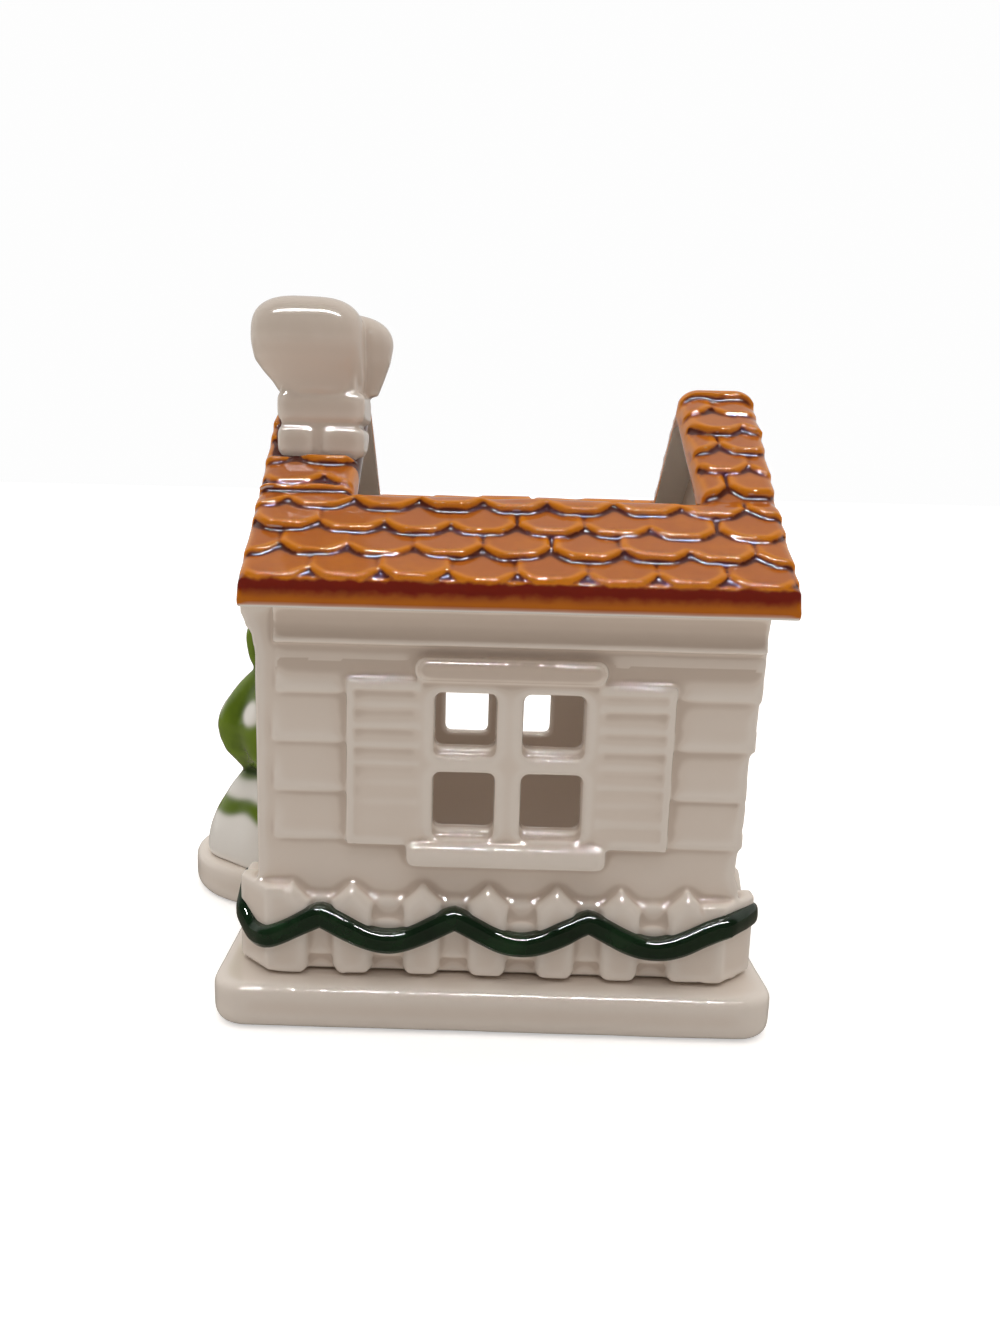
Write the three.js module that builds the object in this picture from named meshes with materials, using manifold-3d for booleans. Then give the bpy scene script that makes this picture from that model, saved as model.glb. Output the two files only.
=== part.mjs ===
// House candle holder: a glazed earthenware house shell that stands loose on a base plate.
// A tealight stands on the plate inside, and shines out of the windows and the open roof.
// Millimetres, +Z up, +X to the right along the window front, +Y away from that front.
// The origin is the centre of the plate's rectangle, on the surface it stands on.
import * as THREE from 'three';
import { mergeVertices } from 'three/addons/utils/BufferGeometryUtils.js';
import Module from 'manifold-3d';

const wasm = await Module();
wasm.setup();

// Fit
const seatGap = 0.3;            // clearance between pieces that don't meet on flat faces
const shellPlay = 1.2;          // clearance all round between the plate's step and the shell

// House walls
const houseWidth = 116.2;
const houseDepth = 108.6;
const houseShift = 2.5;         // the shell is cast a little to the right of the fence
const wallThickness = 5;
const lap = 1;                  // how far a plank's lower edge stands proud
const plankHeight = 12.34;
const plankCount = 4;           // whole planks between the fence and the cornice
const corniceHeight = 8.84;
const corniceDepth = 2.4;
const corniceEdge = 0.9;

// Fence and garland
const fenceSide = 6.7;          // from the house's sides to the pickets' faces
const fenceFront = 3.2;         // and from its front and back
const fenceHeight = 23.7;       // of the pickets' tips above the plate
const fenceCorner = 8.5;        // chamfer across each corner, in plan
const ledgeDrop = 4;            // from the tips to the low wall behind the pickets
const plankSpace = 11.3;        // from the tips to the first lapped plank
const cornerReturn = 6;         // how far the front and back lengths go round the corners
const picketWidth = 9.2;
const picketProud = 2.6;
const picketPitch = 16.64;
const picketShift = -1.4;       // of the middle picket from the middle of the front
const picketPoint = 5;          // height of the pointed top
const picketRake = 3.4;         // height of the slope on top of its face
const picketFoot = 0.4;         // gap under it
const picketRound = 1.6;        // height of its rounded lower corners
const railProud = 1.2;
const railHeight = 4;
const railFoot = 5.4;           // height of the lower rail above the plate
const railDrop = 2;             // of the upper rail under the low wall's top
const garlandRadius = 2.5;
const garlandDrop = 10;         // of the rope's middle line under the tips
const garlandSwing = 3.7;       // half of the height of a swag
const garlandOffset = 0.4;      // how far the rope's middle stands off the pickets' faces
const garlandStep = 4.16;
const gateClimb = 2;            // how much higher it hangs towards the gate

// Base plate
const plateSide = 5.2;          // from the fence's sides to the plate's edge
const plateFront = 7;           // and from its front and back
const plateThickness = 11.3;
const plateCorner = 9;
const plateEdge = 3;
const lobeMargin = 4;           // from the tree's foot to the edge of the tongue under it
const stepHeight = 3;           // raised step that keeps the shell in place
const stepCorner = 8;
const stepEdge = 0.8;
const candleDiameter = 39;      // a standard tealight, with its cup
const candlePlay = 0.8;
const ringWall = 2.4;
const ringHeight = 3;
const ringEdge = 0.8;

// Roof
const roofShift = 3.2;
const eaveSide = 6.9;           // overhang at the gables
const eaveFront = 7.3;          // overhang at the eaves
const fasciaHeight = 6.4;
const roofRise = 48.5;          // from the fascia's top to the ridge
const roofThickness = 5;
const ridgeRoll = 2.4;          // radius of the roll along the ridge
const ridgeRollSink = 0.6;
const leftStrip = 24.5;         // width of the roof left of the opening
const rightStrip = 18.1;
const openingRise = 20.1;       // from the fascia's top to the opening's lower edge
const tilePitch = 15.6;
const tileRow = 7.7;
const tileLip = 2;              // how far a tile's lower edge stands off the slab
const tileThickness = 2.6;
const tileGap = 0.7;
const tileBowl = 5.2;           // length of the rounded end
const tileCover = 2.6;          // how far the next row lies over it
const tileOverhang = 0.6;       // of the first row over the fascia
const tileStart = 1;            // from the opening's left edge to the first tile's middle

// Windows
const paneWidth = 14.9;
const paneHeight = 15;
const paneCorner = 2.6;
const mullion = 6.6;
const transom = 5.8;
const windowLift = 3.1;         // of the panes above the first lapped plank's edge
const frameMargin = 4.4;
const frameHead = 1.6;
const frameFoot = 2.8;
const frameProud = 2.2;
const frameCorner = 1.5;
const lintelHeight = 6.2;
const lintelProud = 4.2;
const lintelOverhang = 0.6;
const lintelCorner = 2.6;
const sillHeight = 6;
const sillProud = 4.6;
const sillOverhang = 2;
const sillCorner = 1.6;
const softEdge = 0.8;           // bevel of the lintels and sills
const shutterSpace = 1.6;
const shutterWidth = 15.2;
const shutterHeight = 42.6;
const shutterProud = 2.6;
const shutterBorder = 1.8;
const slatCount = 8;
const slatLean = 1;
const slatGap = 0.6;

// Tree
const treeFromLeft = 3;         // its middle, from the plate's left edge
const treeFromBack = 26.5;      // and from its back edge
const treeRadius = 28;          // of the foot
const treeLobes = 7;
const footSwell = 0.03;
const middleSwell = 0.05;
const topSwell = 0.06;
const footTop = 27.1;           // heights above the plate
const middleTop = 60.7;
const treeTop = 91.7;

// Door, corner boards
const doorSpace = 1.3;          // from the doorstep to the tree's foot
const doorWidth = 20;
const doorHeight = 45;
const doorProud = 2;
const doorFrame = 4;
const doorFrameProud = 3.4;
const doorGrooves = 3;
const doorGrooveWidth = 0.8;
const doorGrooveDepth = 0.6;
const doorstepHeight = 5.2;
const doorstepInset = 0.6;
const doorstepCorner = 1.5;
const doorstepEdge = 0.7;
const boardWidth = 9.8;
const boardProud = 4.8;
const boardFlare = 3;
const boardFlareHeight = 6;
const boardLip = 1.5;

// Chimney
const chimneyInset = 3.4;       // from the roof's left edge
const chimneyWidth = 20.8;
const chimneyForward = 26;      // of its front from the ridge
const chimneyDepth = 20;
const chimneyDrop = 2.4;        // of its top under the ridge line
const chimneySink = 0.5;        // depth of its seat in the roof
const seatClearance = 4;        // height of the cut for it, in tile lips, so that no tile is left in it
const brickProud = 1;
const brickGap = 1.2;
const brickCorner = 0.9;
const brickEdge = 0.6;
const courseHeight = 8.6;
const capHeight = 23;
const capReach = 15.4;          // half width and half depth of its larger heap
const capDepth = 13.5;
const capForward = 3;           // of its middle from the stack's
const capSwell = 0.5;           // how much taller than half the cap it is, and the rear heap shorter
const capRearReach = 12.4;
const capRearDepth = 13;
const capRearShift = 5;         // of the rear heap's middle to the right of the stack's
const capRearBack = 5.5;        // and behind it
const capRearDrop = 2.6;        // of its top under the larger heap's

// Glazes
const glaze = (color, roughness) => new THREE.MeshStandardMaterial({ color, roughness, metalness: 0 });
const whiteGlaze = () => glaze(0xe9e1d8, 0.18);
const snowGlaze = () => glaze(0xf3efe9, 0.2);
const amberGlaze = () => glaze(0xb85a12, 0.12);
const garlandGlaze = () => glaze(0x0f2d17, 0.12);
const treeGlaze = () => glaze(0x5b7d2b, 0.2);
const doorGlaze = () => glaze(0x8a4a1c, 0.15);

// House walls, as planes: the core lies under the planks
const coreLeft = houseShift - houseWidth / 2 + lap;
const coreRight = houseShift + houseWidth / 2 - lap;
const coreDepth = houseDepth / 2 - lap;
const innerDepth = coreDepth - wallThickness;
const innerLeft = coreLeft + wallThickness;
const innerRight = coreRight - wallThickness;

// Fence and plate
const fenceWidth = houseWidth + 2 * fenceSide;
const fenceDepth = houseDepth + 2 * fenceFront;
const plateWidth = fenceWidth + 2 * plateSide;
const plateDepth = fenceDepth + 2 * plateFront;
const fenceTip = plateThickness + fenceHeight;
const fenceLedge = fenceTip - ledgeDrop;

// Heights of the walls
const plankStart = fenceTip + plankSpace;
const corniceBottom = plankStart + plankCount * plankHeight;
const eaveHeight = corniceBottom + corniceHeight;

// Roof
const roofLeft = roofShift - houseWidth / 2 - eaveSide;
const roofRight = roofShift + houseWidth / 2 + eaveSide;
const openingLeft = roofLeft + leftStrip;
const openingRight = roofRight - rightStrip;
const eaveHalf = houseDepth / 2 + eaveFront;
const fasciaTop = eaveHeight + fasciaHeight;
const ridgeHeight = fasciaTop + roofRise;
const openingHeight = fasciaTop + openingRise;
const slope = roofRise / eaveHalf;
const slopeAngle = Math.atan(slope);
const slopeLength = Math.hypot(eaveHalf, roofRise);
const roofDrop = roofThickness / Math.cos(slopeAngle);
const slopeGap = seatGap / Math.cos(slopeAngle);
const slabHeight = (y) => ridgeHeight - slope * Math.abs(y);
const underside = (y) => slabHeight(y) - roofDrop;
const openingFront = (openingHeight - ridgeHeight) / slope;

// Window
const windowHalf = mullion / 2 + paneWidth + frameMargin;
const paneSill = plankStart + windowLift;
const lintelBottom = paneSill + 2 * paneHeight + transom + frameHead;
const lintelHalf = windowHalf + lintelOverhang;
const sillTop = paneSill - frameFoot;
const sillHalf = windowHalf + sillOverhang;
const shutterInner = windowHalf + shutterSpace;
const shutterBottom = sillTop + seatGap;

// Tree and entrance
const treeX = treeFromLeft - plateWidth / 2;
const treeY = plateDepth / 2 - treeFromBack;
const footRadius = treeRadius * (1 + footSwell);
const doorstepHalf = doorWidth / 2 + doorFrame - doorstepInset;
const doorMiddle = treeY - footRadius - doorSpace - doorstepHalf;
const doorBottom = plateThickness + doorstepHeight;
const gateFront = doorMiddle - doorWidth / 2 - doorFrame - seatGap;

// Chimney
const chimneyLeft = roofLeft + chimneyInset;
const chimneyRight = chimneyLeft + chimneyWidth;
const chimneyFront = -chimneyForward;
const chimneyBack = chimneyFront + chimneyDepth;
const chimneyTop = ridgeHeight - chimneyDrop;

// Farther out than any piece reaches, for cuts that run right through
const beyond = 400;
const everywhere = [-beyond, beyond];

// Solids from three.js geometry, joined and cut
const snap = (value) => Math.round(value * 1e4) / 1e4;

function solid(geometry) {
  const bare = geometry.clone();
  bare.deleteAttribute('normal');
  bare.deleteAttribute('uv');
  const merged = mergeVertices(bare, 1e-4);
  const vertProperties = Float32Array.from(merged.attributes.position.array, snap);
  const triVerts = new Uint32Array(merged.index.array);
  return new wasm.Manifold(new wasm.Mesh({ numProp: 3, vertProperties, triVerts }));
}

const join = (pieces) => pieces.reduce((whole, piece) => whole.add(piece));
const cut = (body, tools) => tools.reduce((whole, tool) => whole.subtract(tool), body);

function block([x0, x1], [y0, y1], [z0, z1]) {
  const geometry = new THREE.BoxGeometry(x1 - x0, y1 - y0, z1 - z0);
  return solid(geometry.translate((x0 + x1) / 2, (y0 + y1) / 2, (z0 + z1) / 2));
}

const above = (z) => block(everywhere, everywhere, [z, beyond]);
const polygon = (points) => new THREE.Shape(points.map(([a, b]) => new THREE.Vector2(a, b)));
const circle = (x, y, radius) => new THREE.Shape().absarc(x, y, radius, 0, 2 * Math.PI, false);

function roundedRectangle(x0, x1, y0, y1, radius) {
  const shape = new THREE.Shape();
  shape.moveTo(x0 + radius, y0);
  shape.lineTo(x1 - radius, y0);
  shape.absarc(x1 - radius, y0 + radius, radius, -Math.PI / 2, 0, false);
  shape.absarc(x1 - radius, y1 - radius, radius, 0, Math.PI / 2, false);
  shape.absarc(x0 + radius, y1 - radius, radius, Math.PI / 2, Math.PI, false);
  shape.absarc(x0 + radius, y0 + radius, radius, Math.PI, 1.5 * Math.PI, false);
  return shape;
}

// Extrusions whose outline lies across one axis: [y, z] for x, [x, z] for y, [x, y] for z
const vector = (x, y, z) => new THREE.Vector3(x, y, z);
const extrudeTurns = {
  x: new THREE.Matrix4().makeBasis(vector(0, 1, 0), vector(0, 0, 1), vector(1, 0, 0)),
  y: new THREE.Matrix4().makeBasis(vector(1, 0, 0), vector(0, 0, 1), vector(0, -1, 0)),
  z: new THREE.Matrix4(),
};

function extrude(axis, shape, [from, to], { bevel = 0, bevelSegments = 1, curveSegments = 1 } = {}) {
  const geometry = new THREE.ExtrudeGeometry(shape, {
    depth: to - from - 2 * bevel,
    bevelEnabled: bevel > 0,
    bevelThickness: bevel,
    bevelSize: bevel,
    bevelOffset: -bevel,
    bevelSegments,
    curveSegments,
  });
  geometry.translate(0, 0, bevel);
  geometry.applyMatrix4(extrudeTurns[axis]);
  if (axis === 'x') geometry.translate(from, 0, 0);
  if (axis === 'y') geometry.translate(0, to, 0);
  if (axis === 'z') geometry.translate(0, 0, from);
  return solid(geometry);
}

// Wall frames: x runs along the wall to the viewer's right, y into the wall from its core face
const wallTurns = {
  front: { along: vector(1, 0, 0), inward: vector(0, 1, 0), origin: vector(houseShift, -coreDepth, 0) },
  back: { along: vector(-1, 0, 0), inward: vector(0, -1, 0), origin: vector(houseShift, coreDepth, 0) },
  right: { along: vector(0, 1, 0), inward: vector(-1, 0, 0), origin: vector(coreRight, 0, 0) },
  left: { along: vector(0, -1, 0), inward: vector(1, 0, 0), origin: vector(coreLeft, 0, 0) },
};

function onWall(side, piece) {
  const { along, inward, origin } = wallTurns[side];
  const turn = new THREE.Matrix4().makeBasis(along, inward, vector(0, 0, 1)).setPosition(origin);
  return piece.transform(turn.elements);
}

const outsideWall = () => block(everywhere, [-beyond, 0], everywhere);

const group = new THREE.Group();

function add(name, piece, material) {
  const { vertProperties, triVerts } = piece.getMesh();
  const geometry = new THREE.BufferGeometry();
  geometry.setAttribute('position', new THREE.BufferAttribute(vertProperties, 3));
  geometry.setIndex(new THREE.BufferAttribute(triVerts, 1));
  geometry.computeVertexNormals();
  const mesh = new THREE.Mesh(geometry, material);
  mesh.name = name;
  group.add(mesh);
}

// Base plate with its tongue, the step under the shell and the ring round the candle
function basePlate() {
  const halfX = plateWidth / 2;
  const halfY = plateDepth / 2;
  const slab = roundedRectangle(-halfX, halfX, -halfY, halfY, plateCorner);
  const tongue = circle(treeX, treeY, treeRadius + lobeMargin);
  const rounded = (shape, curveSegments) => extrude('z', shape, [0, plateThickness],
    { bevel: plateEdge, bevelSegments: 2, curveSegments });
  return rounded(slab, 3).add(rounded(tongue, 16));
}

function locatingStep() {
  const shape = roundedRectangle(innerLeft + shellPlay, innerRight - shellPlay,
    -innerDepth + shellPlay, innerDepth - shellPlay, stepCorner);
  const heights = [plateThickness, plateThickness + stepHeight];
  return extrude('z', shape, heights, { bevel: stepEdge, curveSegments: 2 });
}

function candleRing() {
  const bottom = plateThickness + stepHeight;
  const top = bottom + ringHeight;
  const inner = candleDiameter / 2 + candlePlay;
  const outer = inner + ringWall;
  const profile = [[inner, bottom], [outer, bottom], [outer, top - ringEdge], [outer - ringEdge, top],
    [inner + ringEdge, top], [inner, top - ringEdge], [inner, bottom]];
  const ring = new THREE.LatheGeometry(profile.map(([r, z]) => new THREE.Vector2(r, z)), 24);
  ring.rotateX(Math.PI / 2);
  ring.translate(houseShift, 0, 0);
  return solid(ring);
}

// Walls with lapped planks
function plankProfile(top) {
  const points = [[0, plateThickness], [0, plankStart]];
  for (let z = plankStart; z < top; z += plankHeight) points.push([-lap, z + lap], [0, z + plankHeight]);
  const last = points[points.length - 1][1];
  points.push([wallThickness, last], [wallThickness, plateThickness]);
  return points;
}

function plankWall(side, ends, top) {
  const run = extrude('x', polygon(plankProfile(top)), ends);
  return onWall(side, run.intersect(block(ends, [-lap, wallThickness], [plateThickness, top])));
}

function paneCutters() {
  const cutters = [];
  for (const x of [-mullion / 2 - paneWidth, mullion / 2]) {
    for (const z of [paneSill, paneSill + paneHeight + transom]) {
      const pane = roundedRectangle(x, x + paneWidth, z, z + paneHeight, paneCorner);
      cutters.push(extrude('y', pane, everywhere));
    }
  }
  const reach = block(everywhere, [-beyond, 2 * wallThickness], everywhere);
  return cutters.map((cutter) => cutter.intersect(reach));
}

// The wall is flat under everything that is applied to it
function flat(x0, x1, z0, z1) {
  return block([x0 - seatGap, x1 + seatGap], [-2 * lap, 0], [z0 - seatGap, z1 + seatGap]);
}

function windowSeats() {
  return [
    flat(-windowHalf, windowHalf, sillTop, lintelBottom),
    flat(-lintelHalf, lintelHalf, lintelBottom, lintelBottom + lintelHeight),
    flat(-sillHalf, sillHalf, sillTop - sillHeight, sillTop),
    flat(-shutterInner - shutterWidth, -shutterInner, shutterBottom, shutterBottom + shutterHeight),
    flat(shutterInner, shutterInner + shutterWidth, shutterBottom, shutterBottom + shutterHeight),
  ];
}

function cutWindow(side, wall) {
  return cut(wall, [...paneCutters(), ...windowSeats()].map((tool) => onWall(side, tool)));
}

// The long walls run to the left gable's core and to the right gable's planks
function longWallEnds(side) {
  const left = coreLeft - houseShift;
  const right = coreRight + lap - houseShift;
  return side === 'front' ? [left, right] : [-right, -left];
}

function longWall(side) {
  const wall = plankWall(side, longWallEnds(side), eaveHeight);
  const corniceSeat = block(everywhere, [-2 * lap, 0], [corniceBottom - seatGap, beyond]);
  const belowPlanks = block([coreRight, beyond], everywhere, [0, plankStart]);
  return cut(cutWindow(side, wall), [onWall(side, corniceSeat), belowPlanks]);
}

function cornice(side) {
  const profile = polygon([[0, corniceBottom], [corniceEdge - corniceDepth, corniceBottom],
    [-corniceDepth, corniceBottom + corniceEdge], [-corniceDepth, eaveHeight], [0, eaveHeight]]);
  return onWall(side, extrude('x', profile, longWallEnds(side)));
}

function gableWall(side) {
  const wall = plankWall(side, [-innerDepth, innerDepth], ridgeHeight);
  const under = (y) => underside(y) - slopeGap;
  const outline = polygon([[-innerDepth, plateThickness], [innerDepth, plateThickness],
    [innerDepth, under(innerDepth)], [0, under(0)], [-innerDepth, under(innerDepth)]]);
  return wall.intersect(extrude('x', outline, everywhere));
}

// Window parts, in the wall's own frame
function windowFrame() {
  const outline = roundedRectangle(-windowHalf, windowHalf,
    sillTop + seatGap, lintelBottom - seatGap, frameCorner);
  return cut(extrude('y', outline, [-frameProud, 0]), paneCutters());
}

function softBar(shape, proud) {
  return extrude('y', shape, [-proud, softEdge], { bevel: softEdge }).intersect(outsideWall());
}

function lintel() {
  const top = lintelBottom + lintelHeight;
  return softBar(roundedRectangle(-lintelHalf, lintelHalf, lintelBottom, top, lintelCorner), lintelProud);
}

function windowSill() {
  const bottom = sillTop - sillHeight;
  return softBar(roundedRectangle(-sillHalf, sillHalf, bottom, sillTop, sillCorner), sillProud);
}

function shutter() {
  const slatPitch = (shutterHeight - 2 * shutterBorder) / slatCount;
  const slatFace = -shutterProud + slatGap / 2;
  const profile = [[0, 0], [-shutterProud, 0], [-shutterProud, shutterBorder]];
  for (let i = 0; i < slatCount; i += 1) {
    const z = shutterBorder + i * slatPitch;
    profile.push([slatFace, z + slatGap / 2], [slatFace + slatLean, z + slatPitch - slatGap / 2]);
  }
  profile.push([-shutterProud, shutterHeight - shutterBorder]);
  profile.push([-shutterProud, shutterHeight], [0, shutterHeight]);
  const louvres = extrude('x', polygon(profile), [shutterBorder, shutterWidth - shutterBorder]);
  const stiles = [0, shutterWidth - shutterBorder].map(
    (x) => block([x, x + shutterBorder], [-shutterProud, 0], [0, shutterHeight]),
  );
  return join([louvres, ...stiles]).translate([0, 0, shutterBottom]);
}

function addWindow(side) {
  add(`window_frame_${side}`, onWall(side, windowFrame()), whiteGlaze());
  add(`window_lintel_${side}`, onWall(side, lintel()), whiteGlaze());
  add(`window_sill_${side}`, onWall(side, windowSill()), whiteGlaze());
  const places = { left: -shutterInner - shutterWidth, right: shutterInner };
  for (const [place, x] of Object.entries(places)) {
    add(`shutter_${side}_${place}`, onWall(side, shutter().translate([x, 0, 0])), whiteGlaze());
  }
}

// Entrance and corner boards on the left gable, whose wall frame's x is minus the world's y
const boardOuter = innerDepth + wallThickness + lap;
const boardBottom = fenceTip + seatGap;

function doorShape(margin) {
  const half = doorWidth / 2 + margin;
  const shoulder = doorBottom + doorHeight - doorWidth / 2;
  const shape = new THREE.Shape();
  shape.moveTo(-doorMiddle - half, doorBottom);
  shape.lineTo(-doorMiddle + half, doorBottom);
  shape.absarc(-doorMiddle, shoulder, half, 0, Math.PI, false);
  return shape;
}

const doorArch = (margin, depths) => extrude('y', doorShape(margin), depths, { curveSegments: 5 });

function door() {
  const spacing = doorWidth / (doorGrooves + 1);
  const grooves = Array.from({ length: doorGrooves }, (_, i) => {
    const x = -doorMiddle - doorWidth / 2 + (i + 1) * spacing - doorGrooveWidth / 2;
    return block([x, x + doorGrooveWidth], [-beyond, doorGrooveDepth - doorProud], everywhere);
  });
  return onWall('left', cut(doorArch(-seatGap, [-doorProud, 0]), grooves));
}

function doorSurround() {
  return onWall('left', cut(doorArch(doorFrame, [-doorFrameProud, 0]), [doorArch(0, everywhere)]));
}

const doorSeat = () => onWall('left', doorArch(doorFrame + seatGap, [-2 * lap, 0]));

// The doorstep reaches as far out as the fence
function doorstep() {
  const reach = coreLeft + fenceWidth / 2;
  const shape = roundedRectangle(-doorMiddle - doorstepHalf, -doorMiddle + doorstepHalf,
    -reach, 0, doorstepCorner);
  const step = extrude('z', shape, [plateThickness, doorBottom], { bevel: doorstepEdge });
  return onWall('left', step.intersect(outsideWall()));
}

function cornerBoard(place) {
  const flareStart = eaveHeight - boardFlareHeight;
  const flareFace = -boardProud - boardFlare;
  const profile = polygon([[0, boardBottom], [-boardProud, boardBottom], [-boardProud, flareStart],
    [flareFace, eaveHeight - boardLip], [flareFace, eaveHeight], [0, eaveHeight]]);
  const from = place === 'front' ? boardOuter - boardWidth : -boardOuter;
  return onWall('left', extrude('x', profile, [from, from + boardWidth]));
}

function cornerBoardSeats() {
  return [-boardOuter, boardOuter - boardWidth].map((from) => onWall('left',
    block([from - seatGap, from + boardWidth + seatGap], [-2 * lap, 0], [boardBottom - seatGap, beyond])));
}

// Fence: a low wall with pickets and rails, with a chamfer across each corner
function fencePlan(inset) {
  const x = fenceWidth / 2 - inset;
  const y = fenceDepth / 2 - inset;
  const corner = fenceCorner - inset * (2 - Math.SQRT2);
  return polygon([[corner - x, -y], [x - corner, -y], [x, corner - y], [x, y - corner],
    [x - corner, y], [corner - x, y], [-x, y - corner], [-x, corner - y]]);
}

// A picket in its own frame: x across it, y inward from its face, z up
function picket(reach) {
  const half = picketWidth / 2;
  const bottom = plateThickness + picketFoot;
  const shoulder = fenceTip - picketPoint;
  const outline = [[-half + picketRound / 2, bottom], [half - picketRound / 2, bottom],
    [half, bottom + picketRound], [half, shoulder], [0, fenceTip], [-half, shoulder],
    [-half, bottom + picketRound]];
  const board = extrude('y', polygon(outline), [0, reach]);
  const rake = polygon([[0, fenceTip - picketRake], [picketRake, fenceTip], [picketRake, beyond],
    [-beyond, beyond], [-beyond, fenceTip - picketRake]]);
  return board.subtract(extrude('x', rake, everywhere));
}

// Places of the pickets that fit in a run, either side of its middle
const picketCount = (run) => Math.floor((run - picketWidth) / picketPitch) + 1;

function picketPlaces(run, middle) {
  const count = picketCount(run);
  return Array.from({ length: count }, (_, i) => middle + (i - (count - 1) / 2) * picketPitch);
}

const longPickets = picketPlaces(fenceWidth - 2 * fenceCorner - 2 * Math.abs(picketShift), picketShift);
const sidePickets = picketPlaces(fenceDepth - 2 * fenceCorner - picketWidth, 0);
const gateRun = gateFront + fenceDepth / 2 - fenceCorner;
const gatePickets = Array.from({ length: picketCount(gateRun) },
  (_, i) => gateFront - picketWidth / 2 - i * picketPitch);

function fenceRing() {
  const low = extrude('z', fencePlan(picketProud), [plateThickness, fenceLedge]);
  const rails = [plateThickness + railFoot, fenceLedge - railDrop - railHeight].map(
    (z) => extrude('z', fencePlan(picketProud - railProud), [z, z + railHeight]),
  );
  const halfX = fenceWidth / 2;
  const halfY = fenceDepth / 2;
  const board = picket(picketProud + seatGap);
  const turned = (degrees, x, y) => board.rotate([0, 0, degrees]).translate([x, y, 0]);
  const pickets = [
    ...longPickets.map((x) => turned(0, x, -halfY)),
    ...longPickets.map((x) => turned(180, x, halfY)),
    ...sidePickets.map((y) => turned(90, halfX, y)),
    ...gatePickets.map((y) => turned(-90, -halfX, y)),
  ];
  const posts = extrude('z', fencePlan(0), [plateThickness + picketFoot, fenceTip - picketPoint / 2]);
  const postLeft = longPickets[0] - picketWidth / 2 - seatGap;
  const postRight = longPickets[longPickets.length - 1] + picketWidth / 2 + seatGap;
  const postY = halfY - fenceCorner - picketWidth / 2;
  const between = [block([postLeft, postRight], everywhere, everywhere),
    block(everywhere, [-postY, postY], everywhere)];
  const room = block([coreLeft, coreRight], [-coreDepth, coreDepth], everywhere);
  return join([low, ...rails, ...pickets, cut(posts, between)]).subtract(room);
}

// The garland's way round the fence, by the distance from the front's middle, positive to the right
const outlineX = fenceWidth / 2 + garlandOffset;
const outlineY = fenceDepth / 2 + garlandOffset;
const outlineCorner = fenceCorner + garlandOffset * (2 - Math.SQRT2);
const halfFront = outlineX - outlineCorner;
const slant = outlineCorner * Math.SQRT2;
const sideRun = 2 * (outlineY - outlineCorner);
const sideStart = halfFront + slant;
const backStart = sideStart + sideRun + slant;

function outlinePoint(distance) {
  const sign = Math.sign(distance);
  const far = Math.abs(distance);
  if (far <= halfFront) return [distance, -outlineY];
  if (far <= sideStart) {
    const share = (far - halfFront) / Math.SQRT2;
    return [sign * (halfFront + share), -outlineY + share];
  }
  if (far <= sideStart + sideRun) return [sign * outlineX, -outlineY + outlineCorner + far - sideStart];
  if (far <= backStart) {
    const share = (far - sideStart - sideRun) / Math.SQRT2;
    return [sign * (outlineX - share), outlineY - outlineCorner + share];
  }
  return [sign * (halfFront - (far - backStart)), outlineY];
}

// It hangs in swags over two pickets at a time, from the gate round the front and right to the tree
function garlandRope() {
  const firstPeak = picketShift - picketPitch / 2;
  const treeSide = treeX + Math.sqrt(Math.max(0, footRadius ** 2 - (outlineY - treeY) ** 2));
  const start = gateFront + sideRun / 2 - sideRun - sideStart;
  const end = backStart + halfFront - treeSide;
  const count = Math.round((end - start) / garlandStep);
  const points = Array.from({ length: count + 1 }, (_, i) => {
    const distance = start + ((end - start) * i) / count;
    const swag = garlandSwing * Math.cos((Math.PI * (distance - firstPeak)) / picketPitch);
    const climb = gateClimb * Math.min(1, Math.max(0, -distance - sideStart) / picketPitch);
    return vector(...outlinePoint(distance), fenceTip - garlandDrop + swag + climb);
  });
  const path = new THREE.CatmullRomCurve3(points);
  const section = circle(0, 0, garlandRadius);
  const steps = Math.ceil(path.getLength() / garlandStep);
  const rope = solid(new THREE.ExtrudeGeometry(section, { steps, curveSegments: 4, extrudePath: path }));
  return rope.subtract(extrude('z', fencePlan(-seatGap), everywhere));
}

// Roof: an inverted V left and right of the opening, and a strip along each eave
function roofProfile() {
  return polygon([[-innerDepth, eaveHeight], [-innerDepth, underside(innerDepth)], [0, underside(0)],
    [innerDepth, underside(innerDepth)], [innerDepth, eaveHeight], [eaveHalf, eaveHeight],
    [eaveHalf, fasciaTop], [0, ridgeHeight], [-eaveHalf, fasciaTop], [-eaveHalf, eaveHeight]]);
}

// The opening's edge is cut square to the slope
const edgeY = openingFront + roofThickness * Math.sin(slopeAngle);
const edgeZ = openingHeight - roofThickness * Math.cos(slopeAngle);

function eaveProfile() {
  return polygon([[-eaveHalf, eaveHeight], [-innerDepth, eaveHeight], [-innerDepth, underside(innerDepth)],
    [edgeY, edgeZ], [openingFront, openingHeight], [-eaveHalf, fasciaTop]]);
}

// One fish-scale tile: x across the slope, y up it from the lip, z out of the slab
function tile() {
  const half = (tilePitch - tileGap) / 2;
  const length = tileRow + tileCover;
  const shape = new THREE.Shape();
  shape.moveTo(half, length);
  shape.lineTo(-half, length);
  shape.lineTo(-half, tileBowl);
  shape.absellipse(0, tileBowl, half, tileBowl, Math.PI, 2 * Math.PI, false);
  const geometry = new THREE.ExtrudeGeometry(shape,
    { depth: tileThickness, bevelEnabled: false, curveSegments: 2 });
  geometry.translate(0, 0, -tileThickness);
  geometry.rotateX(-Math.atan(tileLip / (length - tileThickness / 2)));
  return geometry.translate(0, 0, tileLip);
}

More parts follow.
